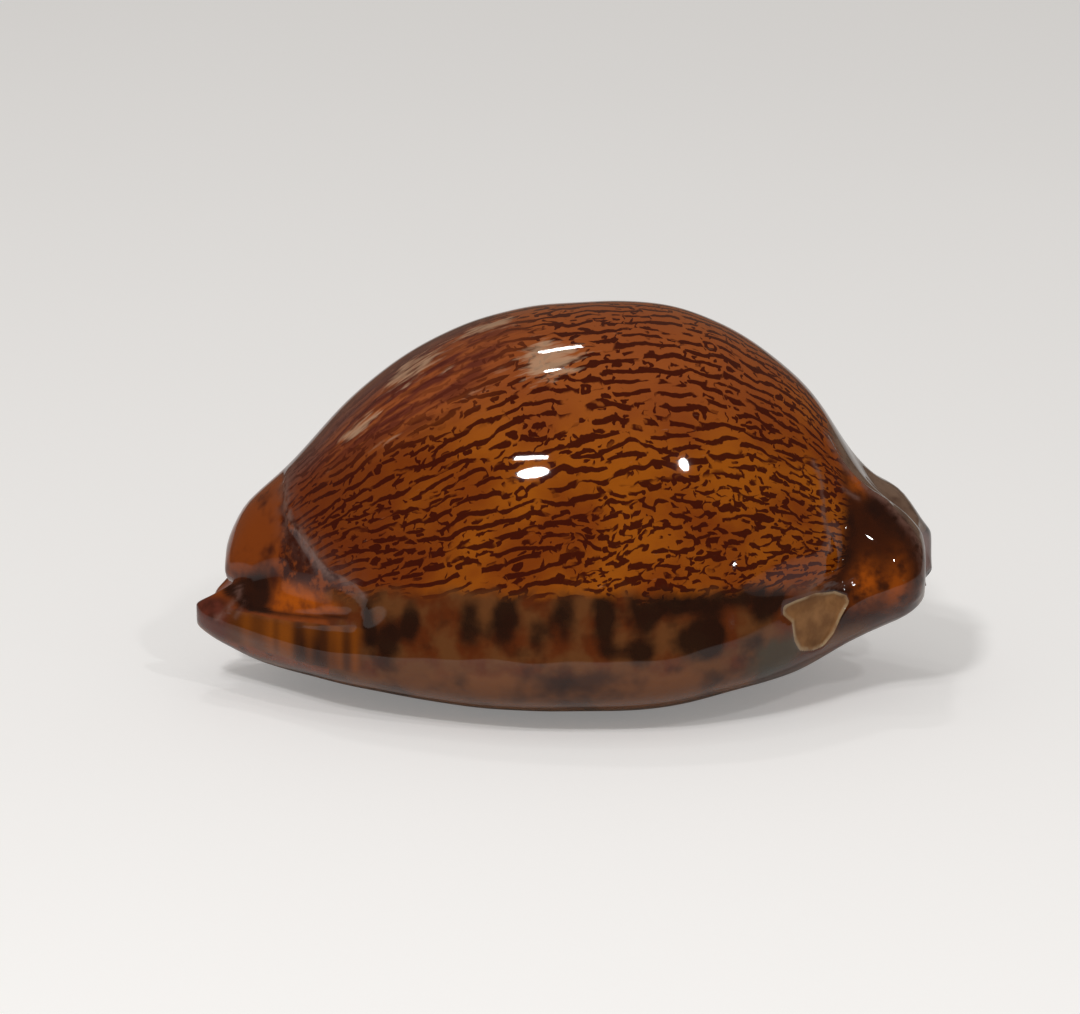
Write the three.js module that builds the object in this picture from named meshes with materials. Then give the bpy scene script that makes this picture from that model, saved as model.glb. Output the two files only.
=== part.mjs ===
// A cowrie shell of the humped, thick-lipped kind: one wall of shell rolled round a long slit.
// Millimetres. +X is the hind end, -X the front end, -Y the columellar side, +Y the outer lip's side and
// +Z the back. The origin is under the middle of the shell, on the plane that it rests on.
// The shell grew as one piece, so it is one closed solid: an outer sheet and an inner sheet that meet in
// rounded edges along both lips of the slit and round both end canals.
import * as THREE from "three";

// The shell's length, from the front canal to the hind canal, and its reach each side of the origin.
const LENGTH = 65;
const REACH = LENGTH / 2;

// Profile curves along the shell: [distance along X, value], joined by a natural cubic spline.
// Height of the crest of the back.
const CREST = [
  [-REACH, 11.2], [-30.8, 12.8], [-28.6, 15.5], [-25, 18.9], [-20, 24.3], [-14, 29], [-8, 32],
  [0, 33.4], [7, 33.5], [13, 32], [19, 28.3], [22.5, 24.8], [25.3, 20.8], [28, 18], [REACH, 13.8],
];
// Height of the base. The middle dips below zero and is worn flat there.
const BASE = [
  [-REACH, 4.7], [-30, 3.6], [-27, 2.45], [-23, 1.75], [-16, 0.9], [-8, 0], [0, -0.25],
  [8, 0], [15, 1.3], [20, 2.3], [25, 4.7], [29, 6.5], [REACH, 8],
];
// Height of the widest level, where each section has its centre.
const WAIST = [
  [-REACH, 7.4], [-28, 6.8], [-20, 6.4], [-8, 6.4], [4, 6.8], [14, 7.4], [22, 8.8], [28, 10.7],
  [REACH, 11.8],
];
// Half width from the slit to the columellar margin, and to the outer lip's margin.
const NEAR_WIDTH = [
  [-REACH, 4.4], [-29, 6.3], [-25, 9.6], [-20, 13.6], [-14, 17], [-6, 19.8], [2, 20.8],
  [9, 20], [16, 16.8], [21, 12.4], [25, 8.8], [29, 7.1], [REACH, 6],
];
const FAR_WIDTH = [
  [-REACH, 4.4], [-29, 5.9], [-25, 8.6], [-20, 12.2], [-14, 15.6], [-6, 18.4], [2, 19.4],
  [9, 19], [16, 16.6], [21, 13.6], [25, 11], [29, 8.9], [REACH, 7.2],
];
// Where the slit runs across the base, and half its gap.
const SLIT = [[-REACH, -1.2], [-22, -0.5], [-8, 0.45], [6, 0.65], [18, -0.35], [26, -2.1], [REACH, -3.2]];
const SLIT_HALF_GAP = [[-REACH, 1.3], [-24, 1.35], [-10, 1.25], [6, 1.2], [28, 1.2], [REACH, 1.3]];
// Thickness of the wall at the crest, at the margins and at the base.
const CREST_WALL = [
  [-REACH, 9], [-28, 7.5], [-22, 3.8], [-12, 1.9], [0, 1.5], [12, 1.9], [20, 3.6], [26, 7], [REACH, 9],
];
const MARGIN_WALL = [[-REACH, 4], [-26, 5.5], [-18, 5], [-6, 4.6], [8, 4.6], [18, 5], [26, 5.5], [REACH, 5]];
const BASE_WALL = [[-REACH, 1.8], [-24, 2.6], [-10, 3.2], [8, 3.4], [20, 3.4], [27, 3.2], [REACH, 2.6]];

// Exponents of the section's superellipse: above the waist, below it, and of the hollow.
const BACK_ROUNDNESS = 2.08;
const BASE_ROUNDNESS = 2.7;
const HOLLOW_ROUNDNESS = 2.2;
const CANAL_RADIUS = 1.6;
const LEAST_WALL = 1.2;

// How far the edge of the wall reaches at each end: its roof, and the two lobes beside each canal.
const FRONT_ROOF = -30;
const HIND_ROOF = 31;
const FRONT_NEAR_LOBE = { reach: 2.5, full: 78, fade: 40 };
const FRONT_FAR_LOBE = { reach: 1.3, full: 62, fade: 40 };
const HIND_NEAR_LOBE = { reach: 0.3, full: 110, fade: 70 };
const HIND_FAR_LOBE = { reach: 1.5, full: 70, fade: 100 };
// How far a lobe's corner beside the slit draws back, and up to what angle from the slit.
const CORNER = { back: 1, from: 14, to: 40 };
// A small knob on the front edge, above the near lobe: how far it sticks out, its angle and its spread.
const FRONT_KNOB = { out: 0.7, at: 119, spread: 9 };

// Rounded edges: length along X at the ends, and where between the two sheets the edge lies.
const END_ROUNDING = 2;
const LIP_ROUNDING = 0.9;
// About where a lip's rounding ends, in degrees from the slit.
const LIP_ANGLE = 24;
const LIP_EDGE_SHARE = 0.5;
const END_EDGE_SHARE = 0.6;
const END_EDGE_FROM = 22;
const END_EDGE_OVER = 8;

// Rows round the section and columns along the shell: steps in each rounded edge and between them.
const EDGE_STEPS = 3;
const ROUND_STEPS = 42;
const LONG_STEPS = 38;

// A natural cubic spline through knots [x, value], held level past its ends.
function profile(knots) {
  const count = knots.length;
  const at = knots.map((knot) => knot[0]);
  const value = knots.map((knot) => knot[1]);
  const bend = new Array(count).fill(0);
  const lower = new Array(count).fill(0);
  for (let i = 1; i < count - 1; i++) {
    const before = at[i] - at[i - 1];
    const after = at[i + 1] - at[i];
    const slopes = (value[i + 1] - value[i]) / after - (value[i] - value[i - 1]) / before;
    const pivot = 2 * (before + after) - before * lower[i - 1];
    lower[i] = after / pivot;
    bend[i] = (6 * slopes - before * bend[i - 1]) / pivot;
  }
  for (let i = count - 2; i > 0; i--) bend[i] -= lower[i] * bend[i + 1];
  return (x) => {
    const held = THREE.MathUtils.clamp(x, at[0], at[count - 1]);
    let i = 0;
    while (i < count - 2 && held > at[i + 1]) i++;
    const width = at[i + 1] - at[i];
    const past = held - at[i];
    const left = at[i + 1] - held;
    const cubic = (bend[i] * left ** 3 + bend[i + 1] * past ** 3) / (6 * width);
    const from = (value[i] / width - (bend[i] * width) / 6) * left;
    const to = (value[i + 1] / width - (bend[i + 1] * width) / 6) * past;
    return cubic + from + to;
  };
}

const crest = profile(CREST);
const base = profile(BASE);
const waist = profile(WAIST);
const nearWidth = profile(NEAR_WIDTH);
const farWidth = profile(FAR_WIDTH);
const slit = profile(SLIT);
const halfGap = profile(SLIT_HALF_GAP);
const crestWall = profile(CREST_WALL);
const marginWall = profile(MARGIN_WALL);
const baseWall = profile(BASE_WALL);

const sin = (degrees) => Math.sin(THREE.MathUtils.degToRad(degrees));
const cos = (degrees) => Math.cos(THREE.MathUtils.degToRad(degrees));

// A section's radius at an angle from straight down, where the half widths are side, up and down.
function sectionRadius(angle, side, up, down, upRoundness, downRoundness) {
  const below = cos(angle) > 0;
  const roundness = below ? downRoundness : upRoundness;
  const across = (Math.abs(sin(angle)) / side) ** roundness;
  const along = (Math.abs(cos(angle)) / (below ? down : up)) ** roundness;
  return (across + along) ** (-1 / roundness);
}

// Radii of the outer and inner sheets. The angle runs from the slit, 0, past the near margin, 90, over
// the crest, 180, and past the far margin, 270.
function sheetRadii(angle, x) {
  const side = angle < 180 ? nearWidth(x) : farWidth(x);
  const up = crest(x) - waist(x);
  const down = waist(x) - base(x);
  const outer = sectionRadius(angle, side, up, down, BACK_ROUNDNESS, BASE_ROUNDNESS);
  const hollow = sectionRadius(
    angle,
    Math.max(CANAL_RADIUS, side - marginWall(x)),
    Math.max(CANAL_RADIUS, up - crestWall(x)),
    Math.max(CANAL_RADIUS, down - baseWall(x)),
    HOLLOW_ROUNDNESS,
    HOLLOW_ROUNDNESS,
  );
  return { outer, inner: Math.min(hollow, outer - LEAST_WALL) };
}

// How far a lobe reaches past the roof at an angle from the slit, on its own side.
function lobeReach(lobe, fromSlit) {
  const lobed = 1 - THREE.MathUtils.smoothstep(fromSlit, lobe.full, lobe.full + lobe.fade);
  const cornered = 1 - THREE.MathUtils.smoothstep(fromSlit, CORNER.from, CORNER.to);
  return lobe.reach * lobed - CORNER.back * cornered;
}

// Where the wall's edge lies along X at both ends.
function wallEnds(angle) {
  const near = angle <= 180;
  const fromSlit = near ? angle : 360 - angle;
  const knob = FRONT_KNOB.out * Math.exp(-(((angle - FRONT_KNOB.at) / FRONT_KNOB.spread) ** 2));
  return {
    front: FRONT_ROOF - lobeReach(near ? FRONT_NEAR_LOBE : FRONT_FAR_LOBE, fromSlit) - knob,
    hind: HIND_ROOF + lobeReach(near ? HIND_NEAR_LOBE : HIND_FAR_LOBE, fromSlit),
  };
}

// Local relief of the outer sheet, in millimetres outwards: a round bump or hollow with its centre and its
// spread in millimetres along X and in degrees round the section.
const RELIEF = [
  { name: "near marginal bulge", at: [0, 87], spread: [30, 12], height: 0.9 },
  { name: "far marginal bulge", at: [0, 273], spread: [30, 9], height: 0.9 },
  { name: "front hollow", at: [-27, 118], spread: [4.6, 26], height: -1.2 },
  { name: "front marginal ridge", at: [-24.5, 89], spread: [6.5, 8], height: 0.8 },
  { name: "front far trough", at: [-27, 252], spread: [4.2, 15], height: -0.9 },
  { name: "hind groove", at: [23.8, 116], spread: [1.3, 20], height: -0.9 },
  { name: "hind ear", at: [28, 97], spread: [2.6, 26], height: 0.9 },
  { name: "hind far groove", at: [24.4, 245], spread: [1.5, 20], height: -0.7 },
  { name: "hind furrow", at: [30.5, 180], spread: [4.5, 15], height: -1.5 },
  { name: "hind near crest", at: [28.5, 150], spread: [3, 12], height: 0.4 },
  { name: "hind far crest", at: [29.5, 224], spread: [2.6, 22], height: 0.9 },
];

function reliefHeight(angle, x) {
  let height = 0;
  for (const { at, spread, height: peak } of RELIEF) {
    const away = ((x - at[0]) / spread[0]) ** 2 + ((angle - at[1]) / spread[1]) ** 2;
    height += peak * Math.exp(-away);
  }
  return height;
}

// Angles that cut the middle section into steps of equal length, from a lip to the crest, as shares of
// the way from the lip's rounding to the crest.
function evenShares(steps) {
  const SAMPLES = 640;
  const lengths = [0];
  const point = (i) => {
    const angle = LIP_ANGLE + ((180 - LIP_ANGLE) * i) / SAMPLES;
    const radius = sheetRadii(angle, 0).outer;
    return new THREE.Vector2(radius * sin(angle), radius * cos(angle));
  };
  for (let i = 1; i <= SAMPLES; i++) lengths.push(lengths[i - 1] + point(i).distanceTo(point(i - 1)));
  const shares = [];
  let i = 0;
  for (let step = 0; step <= steps; step++) {
    const wanted = (lengths[SAMPLES] * step) / steps;
    while (i < SAMPLES - 1 && lengths[i + 1] < wanted) i++;
    shares.push((i + (wanted - lengths[i]) / (lengths[i + 1] - lengths[i])) / SAMPLES);
  }
  return shares;
}

// The grid's rows: the near lip's rounding, up over the back, and down to the far lip's rounding.
// turn is 0 at the edge of the wall and 90 where its rounding ends; share is the way to the crest.
function makeRows() {
  const edge = [...Array(EDGE_STEPS).keys()].map((i) => ({ turn: (90 * i) / EDGE_STEPS, share: 0 }));
  const body = evenShares(ROUND_STEPS / 2).map((share) => ({ turn: 90, share }));
  const half = [...edge, ...body];
  const near = half.map((row) => ({ ...row, near: true }));
  const far = half.slice(0, -1).reverse().map((row) => ({ ...row, near: false }));
  return [...near, ...far];
}

// The grid's columns: the front rounding, along the shell, and the hind rounding.
function makeColumns() {
  const edge = [...Array(EDGE_STEPS).keys()].map((i) => (90 * i) / EDGE_STEPS);
  const front = edge.map((turn) => ({ turn, share: 0 }));
  const body = [...Array(LONG_STEPS + 1).keys()].map((i) => ({ turn: 90, share: i / LONG_STEPS }));
  const hind = edge.map((turn) => ({ turn, share: 1 })).reverse();
  return [...front, ...body, ...hind];
}

function alongX(column, ends) {
  const rounding = END_ROUNDING * (1 - cos(column.turn));
  if (column.turn < 90) return column.share === 0 ? ends.front + rounding : ends.hind - rounding;
  const from = ends.front + END_ROUNDING;
  return from + (ends.hind - END_ROUNDING - from) * column.share;
}

// One grid point on the outer and on the inner sheet. Both are the same point on the wall's edge.
function wallPoint(row, column) {
  const roughAngle = LIP_ANGLE + (180 - LIP_ANGLE) * row.share;
  const x = alongX(column, wallEnds(row.near ? roughAngle : 360 - roughAngle));

  const lip = sheetRadii(row.near ? LIP_ANGLE : 360 - LIP_ANGLE, x);
  const lipMiddle = (lip.outer + lip.inner) / 2;
  const tip = THREE.MathUtils.radToDeg(Math.asin(halfGap(x) / lipMiddle));
  const lipTurn = THREE.MathUtils.radToDeg((lip.outer - lip.inner) / 2 / lipMiddle) * LIP_ROUNDING;
  const roundedAngle = tip + lipTurn * (1 - cos(row.turn));
  const fromSlit = row.turn < 90 ? roundedAngle : tip + lipTurn + (180 - tip - lipTurn) * row.share;
  const angle = row.near ? fromSlit : 360 - fromSlit;

  const radii = sheetRadii(angle, x);
  const endness = THREE.MathUtils.smoothstep(Math.abs(x), END_EDGE_FROM, END_EDGE_FROM + END_EDGE_OVER);
  const edgeShare = THREE.MathUtils.lerp(LIP_EDGE_SHARE, END_EDGE_SHARE, endness);
  const edge = THREE.MathUtils.lerp(radii.inner, radii.outer, edgeShare);
  const fullness = sin(row.turn) * sin(column.turn);

  const place = (radius) =>
    new THREE.Vector3(x, slit(x) - radius * sin(angle), waist(x) - radius * cos(angle));
  const outer = place(edge + (radii.outer - edge + reliefHeight(angle, x)) * fullness);
  outer.z = Math.max(outer.z, 0);
  const inner = place(edge - (edge - radii.inner) * fullness);
  return { outer, inner };
}

// Both sheets as one closed mesh: they share the vertices on the edge of the grid.
function shellGeometry() {
  const rows = makeRows();
  const columns = makeColumns();
  const positions = [];
  const addVertex = (point) => positions.push(...point.toArray()) / 3 - 1;
  const outer = rows.map(() => []);
  const inner = rows.map(() => []);
  rows.forEach((row, i) =>
    columns.forEach((column, j) => {
      const point = wallPoint(row, column);
      const onEdge = i === 0 || i === rows.length - 1 || j === 0 || j === columns.length - 1;
      outer[i][j] = addVertex(onEdge ? point.inner : point.outer);
      inner[i][j] = onEdge ? outer[i][j] : addVertex(point.inner);
    }),
  );
  const faces = [];
  for (let i = 0; i < rows.length - 1; i++)
    for (let j = 0; j < columns.length - 1; j++) {
      const [a, b, c, d] = [outer[i][j], outer[i][j + 1], outer[i + 1][j + 1], outer[i + 1][j]];
      faces.push(a, b, d, b, c, d);
      const [e, f, g, h] = [inner[i][j], inner[i][j + 1], inner[i + 1][j + 1], inner[i + 1][j]];
      faces.push(e, h, f, f, h, g);
    }
  const geometry = new THREE.BufferGeometry();
  geometry.setAttribute("position", new THREE.Float32BufferAttribute(positions, 3));
  geometry.setIndex(faces);
  geometry.computeVertexNormals();
  return geometry;
}

// Glossy amber brown, as the shell looks from a distance.
const shellMaterial = new THREE.MeshStandardMaterial({ color: 0x72320c, roughness: 0.12, metalness: 0 });

const shell = new THREE.Mesh(shellGeometry(), shellMaterial);
shell.name = "shell";

const cowrie = new THREE.Group();
cowrie.add(shell);

export default cowrie;
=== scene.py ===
"""A cowrie shell of the humped, thick-lipped kind, finished for a studio picture.

The shell is one grown piece. Its form is worked out in millimetres from profile curves along its length,
its finish from coordinates that lie on its surface, and the finished mesh stands for the CAD solid.
+X is the hind end, -X the front end, -Y the columellar side, +Y the outer lip's side and +Z the back.
A place on the shell is given along X and by an angle round its section, in degrees: 0 at the slit, 90 at the
near (columellar) margin, 180 at the crest and 270 at the far (outer lip's) margin.
"""

import logging
import math
from dataclasses import dataclass, field
from enum import Enum

import bpy
import numpy as np
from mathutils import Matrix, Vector

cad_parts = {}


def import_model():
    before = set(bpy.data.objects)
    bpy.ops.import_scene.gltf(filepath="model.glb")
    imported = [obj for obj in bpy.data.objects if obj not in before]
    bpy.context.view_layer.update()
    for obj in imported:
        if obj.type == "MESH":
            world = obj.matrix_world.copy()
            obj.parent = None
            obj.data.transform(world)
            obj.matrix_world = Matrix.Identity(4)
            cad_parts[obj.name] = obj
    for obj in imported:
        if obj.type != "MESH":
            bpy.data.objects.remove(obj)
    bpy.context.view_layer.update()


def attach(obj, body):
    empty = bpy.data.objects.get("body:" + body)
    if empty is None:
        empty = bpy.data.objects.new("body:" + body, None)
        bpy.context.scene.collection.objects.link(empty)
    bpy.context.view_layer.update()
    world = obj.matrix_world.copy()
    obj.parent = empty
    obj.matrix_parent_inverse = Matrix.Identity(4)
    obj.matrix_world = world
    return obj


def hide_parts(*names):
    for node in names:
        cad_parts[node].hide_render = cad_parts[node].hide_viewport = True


log = logging.getLogger("cowrie")

MILLIMETRE = 0.001
REACH = 32.5
Array = np.ndarray
Socket = bpy.types.NodeSocket
Colour = tuple[float, float, float]
Span = tuple[float, float]
Knots = tuple[Span, ...]
Waves = tuple[tuple[float, float, float], ...]


def smooth_step(value: Array, low: float, high: float) -> Array:
    """Ease from 0 at low to 1 at high.

    Args:
        value: The numbers to ease.
        low: Where the result leaves 0.
        high: Where the result reaches 1. It may be less than low.

    Returns:
        Numbers from 0 to 1.
    """
    share = np.clip((value - low) / (high - low), 0.0, 1.0)
    return share * share * (3.0 - 2.0 * share)


def bell(value: Array, centre: float, spread: float) -> Array:
    """Fall off from 1 at the centre in a bell curve of the given spread."""
    return np.exp(-(((value - centre) / spread) ** 2))


def uneven(start: Array | float, x: Array, waves: Waves) -> Array:
    """Add waves along the shell to a value. Each wave is its height, its pace and its phase."""
    return sum((height * np.sin(pace * x + phase) for height, pace, phase in waves), start)


@dataclass(frozen=True)
class Profile:
    """A natural cubic spline along the shell, held level past its ends.

    Attributes:
        knots: Pairs of a place along X and the value there.
    """

    knots: Knots

    def bends(self) -> Array:
        """Solve for the curve's second derivative.

        Returns:
            The second derivative at each knot.
        """
        at, value = np.array(self.knots, float).T
        gap = np.diff(at)
        slope = np.diff(value) / gap
        system = np.eye(len(at))
        pull = np.zeros(len(at))
        for i in range(1, len(at) - 1):
            system[i, i - 1 : i + 2] = gap[i - 1], 2 * (gap[i - 1] + gap[i]), gap[i]
            pull[i] = 6 * (slope[i] - slope[i - 1])
        return np.linalg.solve(system, pull)

    def __call__(self, x: Array) -> Array:
        """Read the curve.

        Args:
            x: Places along the shell.

        Returns:
            The curve's value at each place.
        """
        at, value = np.array(self.knots, float).T
        bend = self.bends()
        held = np.clip(np.asarray(x, float), at[0], at[-1])
        i = np.clip(np.searchsorted(at, held) - 1, 0, len(at) - 2)
        width = at[i + 1] - at[i]
        past, left = held - at[i], at[i + 1] - held
        cubic = (bend[i] * left**3 + bend[i + 1] * past**3) / (6 * width)
        start = (value[i] / width - bend[i] * width / 6) * left
        return cubic + start + (value[i + 1] / width - bend[i + 1] * width / 6) * past


@dataclass(frozen=True)
class Lobe:
    """How far the wall's edge reaches past the roof of a canal, beside the slit.

    Attributes:
        reach: Furthest reach along X.
        full: Angle from the slit up to which the reach is full.
        fade: Further angle over which it fades.
        corner: How far the corner beside the slit is drawn back.
        corner_angles: Angles from the slit over which the corner comes to an end.
    """

    reach: float
    full: float
    fade: float
    corner: float = 1.0
    corner_angles: Span = (14, 40)

    def length(self, from_slit: Array) -> Array:
        """Give the reach at angles from the slit."""
        lobed = 1 - smooth_step(from_slit, self.full, self.full + self.fade)
        return self.reach * lobed - self.corner * (1 - smooth_step(from_slit, *self.corner_angles))


@dataclass(frozen=True)
class Relief:
    """A broad round bump, or a hollow if its height is negative, on the outer sheet.

    Attributes:
        along: Centre along X.
        angle: Centre round the section.
        long: Spread along X.
        round: Spread round the section, in degrees.
        height: Height at the centre.
    """

    along: float
    angle: float
    long: float
    round: float
    height: float

    def heights(self, x: Array, angle: Array) -> Array:
        """Give the height at places on the sheet."""
        return self.height * bell(x, self.along, self.long) * bell(angle, self.angle, self.round)


@dataclass(frozen=True)
class ShellForm:
    """The shell's shape in millimetres, the same as the CAD solid's.

    Attributes:
        crest: Height of the crest of the back.
        base: Height of the base, which is worn flat where it would dip below zero.
        waist: Height of the widest level, where each section has its centre.
        near_width: Half width from the slit to the near margin.
        far_width: Half width from the slit to the far margin.
        slit: Where the slit runs across the base.
        half_gap: Half the slit's width.
        crest_wall: Thickness of the wall at the crest.
        margin_wall: Thickness of the wall at the margins.
        base_wall: Thickness of the wall at the base.
        back_roundness: Exponent of the section's upper quarters, where 2 makes an ellipse.
        base_roundness: Exponent of its lower quarters.
        hollow_roundness: Exponent of the hollow's section.
        canal_radius: Least half width of the hollow.
        least_wall: Least thickness of the wall.
        front_roof: Where the front canal's roof ends along X.
        hind_roof: Where the hind canal's roof ends along X.
        front_lobes: The near and the far lobe of the front canal.
        hind_lobes: The near and the far lobe of the hind canal.
        notch: Depth of the notch in the front edge below the small knob.
        notch_angle: Its place round the section.
        notch_spread: Its spread in degrees.
        end_rounding: How far the rounding of the wall's edge runs in from each end.
        lip_rounding: The same for the lips, in halves of the wall's thickness.
        lip_angle: Angle from the slit at which the lips' thickness is taken.
        lip_edge_share: Where the lips' edge lies between the inner sheet at 0 and the outer one at 1.
        end_edge_share: The same for the edge at both ends.
        edge_change: Distances from the middle over which one edge turns into the other.
        probe: Steps along X and round the section over which the surface is measured.
        reliefs: The broad bumps and hollows.
    """

    crest: Profile = Profile((
        (-REACH, 11.2), (-30.8, 12.8), (-28.6, 15.5), (-25, 18.9), (-20, 24.3), (-14, 29), (-8, 32),
        (0, 33.4), (7, 33.5), (13, 32), (19, 28.3), (22.5, 24.8), (25.3, 20.8), (28, 18), (REACH, 13.8),
    ))
    base: Profile = Profile((
        (-REACH, 4.7), (-30, 3.6), (-27, 2.45), (-23, 1.75), (-16, 0.9), (-8, 0), (0, -0.25), (8, 0),
        (15, 1.3), (20, 2.3), (25, 4.7), (29, 6.5), (REACH, 8),
    ))
    waist: Profile = Profile((
        (-REACH, 7.4), (-28, 6.8), (-20, 6.4), (-8, 6.4), (4, 6.8), (14, 7.4), (22, 8.8), (28, 10.7),
        (REACH, 11.8),
    ))
    near_width: Profile = Profile((
        (-REACH, 4.4), (-29, 6.3), (-25, 9.6), (-20, 13.6), (-14, 17), (-6, 19.8), (2, 20.8), (9, 20),
        (16, 16.8), (21, 12.4), (25, 8.8), (29, 7.1), (REACH, 6),
    ))
    far_width: Profile = Profile((
        (-REACH, 4.4), (-29, 5.9), (-25, 8.6), (-20, 12.2), (-14, 15.6), (-6, 18.4), (2, 19.4), (9, 19),
        (16, 16.6), (21, 13.6), (25, 11), (29, 8.9), (REACH, 7.2),
    ))
    slit: Profile = Profile((
        (-REACH, -1.2), (-22, -0.5), (-8, 0.45), (6, 0.65), (18, -0.35), (26, -2.1), (REACH, -3.2),
    ))
    half_gap: Profile = Profile((
        (-REACH, 1.3), (-24, 1.35), (-10, 1.25), (6, 1.2), (28, 1.2), (REACH, 1.3),
    ))
    crest_wall: Profile = Profile((
        (-REACH, 9), (-28, 7.5), (-22, 3.8), (-12, 1.9), (0, 1.5), (12, 1.9), (20, 3.6), (26, 7), (REACH, 9),
    ))
    margin_wall: Profile = Profile((
        (-REACH, 4), (-26, 5.5), (-18, 5), (-6, 4.6), (8, 4.6), (18, 5), (26, 5.5), (REACH, 5),
    ))
    base_wall: Profile = Profile((
        (-REACH, 1.8), (-24, 2.6), (-10, 3.2), (8, 3.4), (20, 3.4), (27, 3.2), (REACH, 2.6),
    ))
    back_roundness: float = 2.08
    base_roundness: float = 2.7
    hollow_roundness: float = 2.2
    canal_radius: float = 1.6
    least_wall: float = 1.2
    front_roof: float = -30.0
    hind_roof: float = 31.0
    front_lobes: tuple[Lobe, Lobe] = (Lobe(2.5, 78, 40), Lobe(1.3, 62, 40))
    hind_lobes: tuple[Lobe, Lobe] = (Lobe(0.3, 110, 70), Lobe(1.5, 70, 100))
    notch: float = 0.7
    notch_angle: float = 119.0
    notch_spread: float = 9.0
    end_rounding: float = 2.0
    lip_rounding: float = 0.9
    lip_angle: float = 24.0
    lip_edge_share: float = 0.5
    end_edge_share: float = 0.6
    edge_change: Span = (22, 30)
    probe: Span = (0.1, 0.5)
    reliefs: tuple[Relief, ...] = (
        Relief(0, 87, 30, 12, 0.9),
        Relief(0, 273, 30, 9, 0.9),
        Relief(-27, 118, 4.6, 26, -1.2),
        Relief(-24.5, 89, 6.5, 8, 0.8),
        Relief(-27, 252, 4.2, 15, -0.9),
        Relief(23.8, 116, 1.3, 20, -0.9),
        Relief(28, 97, 2.6, 26, 0.9),
        Relief(24.4, 245, 1.5, 20, -0.7),
        Relief(30.5, 180, 4.5, 15, -1.5),
        Relief(28.5, 150, 3, 12, 0.4),
        Relief(29.5, 224, 2.6, 22, 0.9),
    )

    def section(self, angle: Array, side: Array, up: Array, down: Array, roundness: Span) -> Array:
        """Give the radius of a section whose quarters are superellipses.

        Args:
            angle: Degrees from straight down.
            side: Half width on the side that the angle points to.
            up: Height of the section above its centre.
            down: Depth of the section below its centre.
            roundness: Exponents above and below the centre.

        Returns:
            The radius at each angle.
        """
        across, along = np.abs(np.sin(np.radians(angle))), np.cos(np.radians(angle))
        power = np.where(along > 0, roundness[1], roundness[0])
        tall = np.where(along > 0, down, up)
        return ((across / side) ** power + (np.abs(along) / tall) ** power) ** (-1 / power)

    def radii(self, angle: Array, x: Array) -> tuple[Array, Array]:
        """Give the radii of the outer and the inner sheet.

        Args:
            angle: Places round the section.
            x: Places along the shell.

        Returns:
            The outer and the inner radius.
        """
        side = np.where(angle < 180, self.near_width(x), self.far_width(x))
        up, down = self.crest(x) - self.waist(x), self.waist(x) - self.base(x)
        outer = self.section(angle, side, up, down, (self.back_roundness, self.base_roundness))
        hollow = self.section(
            angle,
            np.maximum(self.canal_radius, side - self.margin_wall(x)),
            np.maximum(self.canal_radius, up - self.crest_wall(x)),
            np.maximum(self.canal_radius, down - self.base_wall(x)),
            (self.hollow_roundness, self.hollow_roundness),
        )
        return outer, np.minimum(hollow, outer - self.least_wall)

    def wall_ends(self, angle: Array) -> tuple[Array, Array]:
        """Find the wall's edge at both ends.

        Args:
            angle: Places round the section.

        Returns:
            Where the edge lies along X at the front end and at the hind end.
        """
        near = angle <= 180
        from_slit = np.where(near, angle, 360 - angle)
        front, hind = (
            np.where(near, near_lobe.length(from_slit), far_lobe.length(from_slit))
            for near_lobe, far_lobe in (self.front_lobes, self.hind_lobes)
        )
        front = front - self.notch * bell(angle, self.notch_angle, self.notch_spread)
        return self.front_roof - front, self.hind_roof + hind

    def edge_share(self, x: Array) -> Array:
        """Give where the wall's edge lies between the inner sheet at 0 and the outer one at 1."""
        share = smooth_step(np.abs(x), *self.edge_change)
        return self.lip_edge_share + (self.end_edge_share - self.lip_edge_share) * share

    def relief(self, x: Array, angle: Array) -> Array:
        """Add up the broad bumps and hollows."""
        return sum(each.heights(x, angle) for each in self.reliefs)

    def place(self, x: Array, angle: Array, radius: Array) -> Array:
        """Turn places round the section into points."""
        turn = np.radians(angle)
        return np.stack([x, self.slit(x) - radius * np.sin(turn), self.waist(x) - radius * np.cos(turn)], -1)

    def surface(self, x: Array, angle: Array) -> Array:
        """Find points of the outer sheet away from its edges."""
        return self.place(x, angle, self.radii(angle, x)[0] + self.relief(x, angle))

    def scales(self, x: float, angle: float) -> tuple[float, float]:
        """Measure the surface at a place.

        Args:
            x: The place along X.
            angle: Its place round the section.

        Returns:
            Millimetres of surface for one along X, and for one degree round the section.
        """
        step, turn = self.probe
        here, ahead, aside = self.surface(np.array((x, x + step, x)), np.array((angle, angle, angle + turn)))
        return float(np.linalg.norm(ahead - here) / step), float(np.linalg.norm(aside - here) / turn)

    def even_shares(self, steps: int, samples: int = 2000) -> Array:
        """Cut the middle section into steps of equal length.

        Args:
            steps: How many steps from the lip to the crest.
            samples: At how many places the section is measured for that.

        Returns:
            Shares of the way from the lip's rounding to the crest.
        """
        share = np.linspace(0, 1, samples)
        angle = self.lip_angle + (180 - self.lip_angle) * share
        radius = self.radii(angle, np.zeros_like(angle))[0]
        across, down = radius * np.sin(np.radians(angle)), radius * np.cos(np.radians(angle))
        length = np.concatenate([[0], np.cumsum(np.hypot(np.diff(across), np.diff(down)))])
        return np.interp(np.linspace(0, length[-1], steps + 1), length, share)


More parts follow.
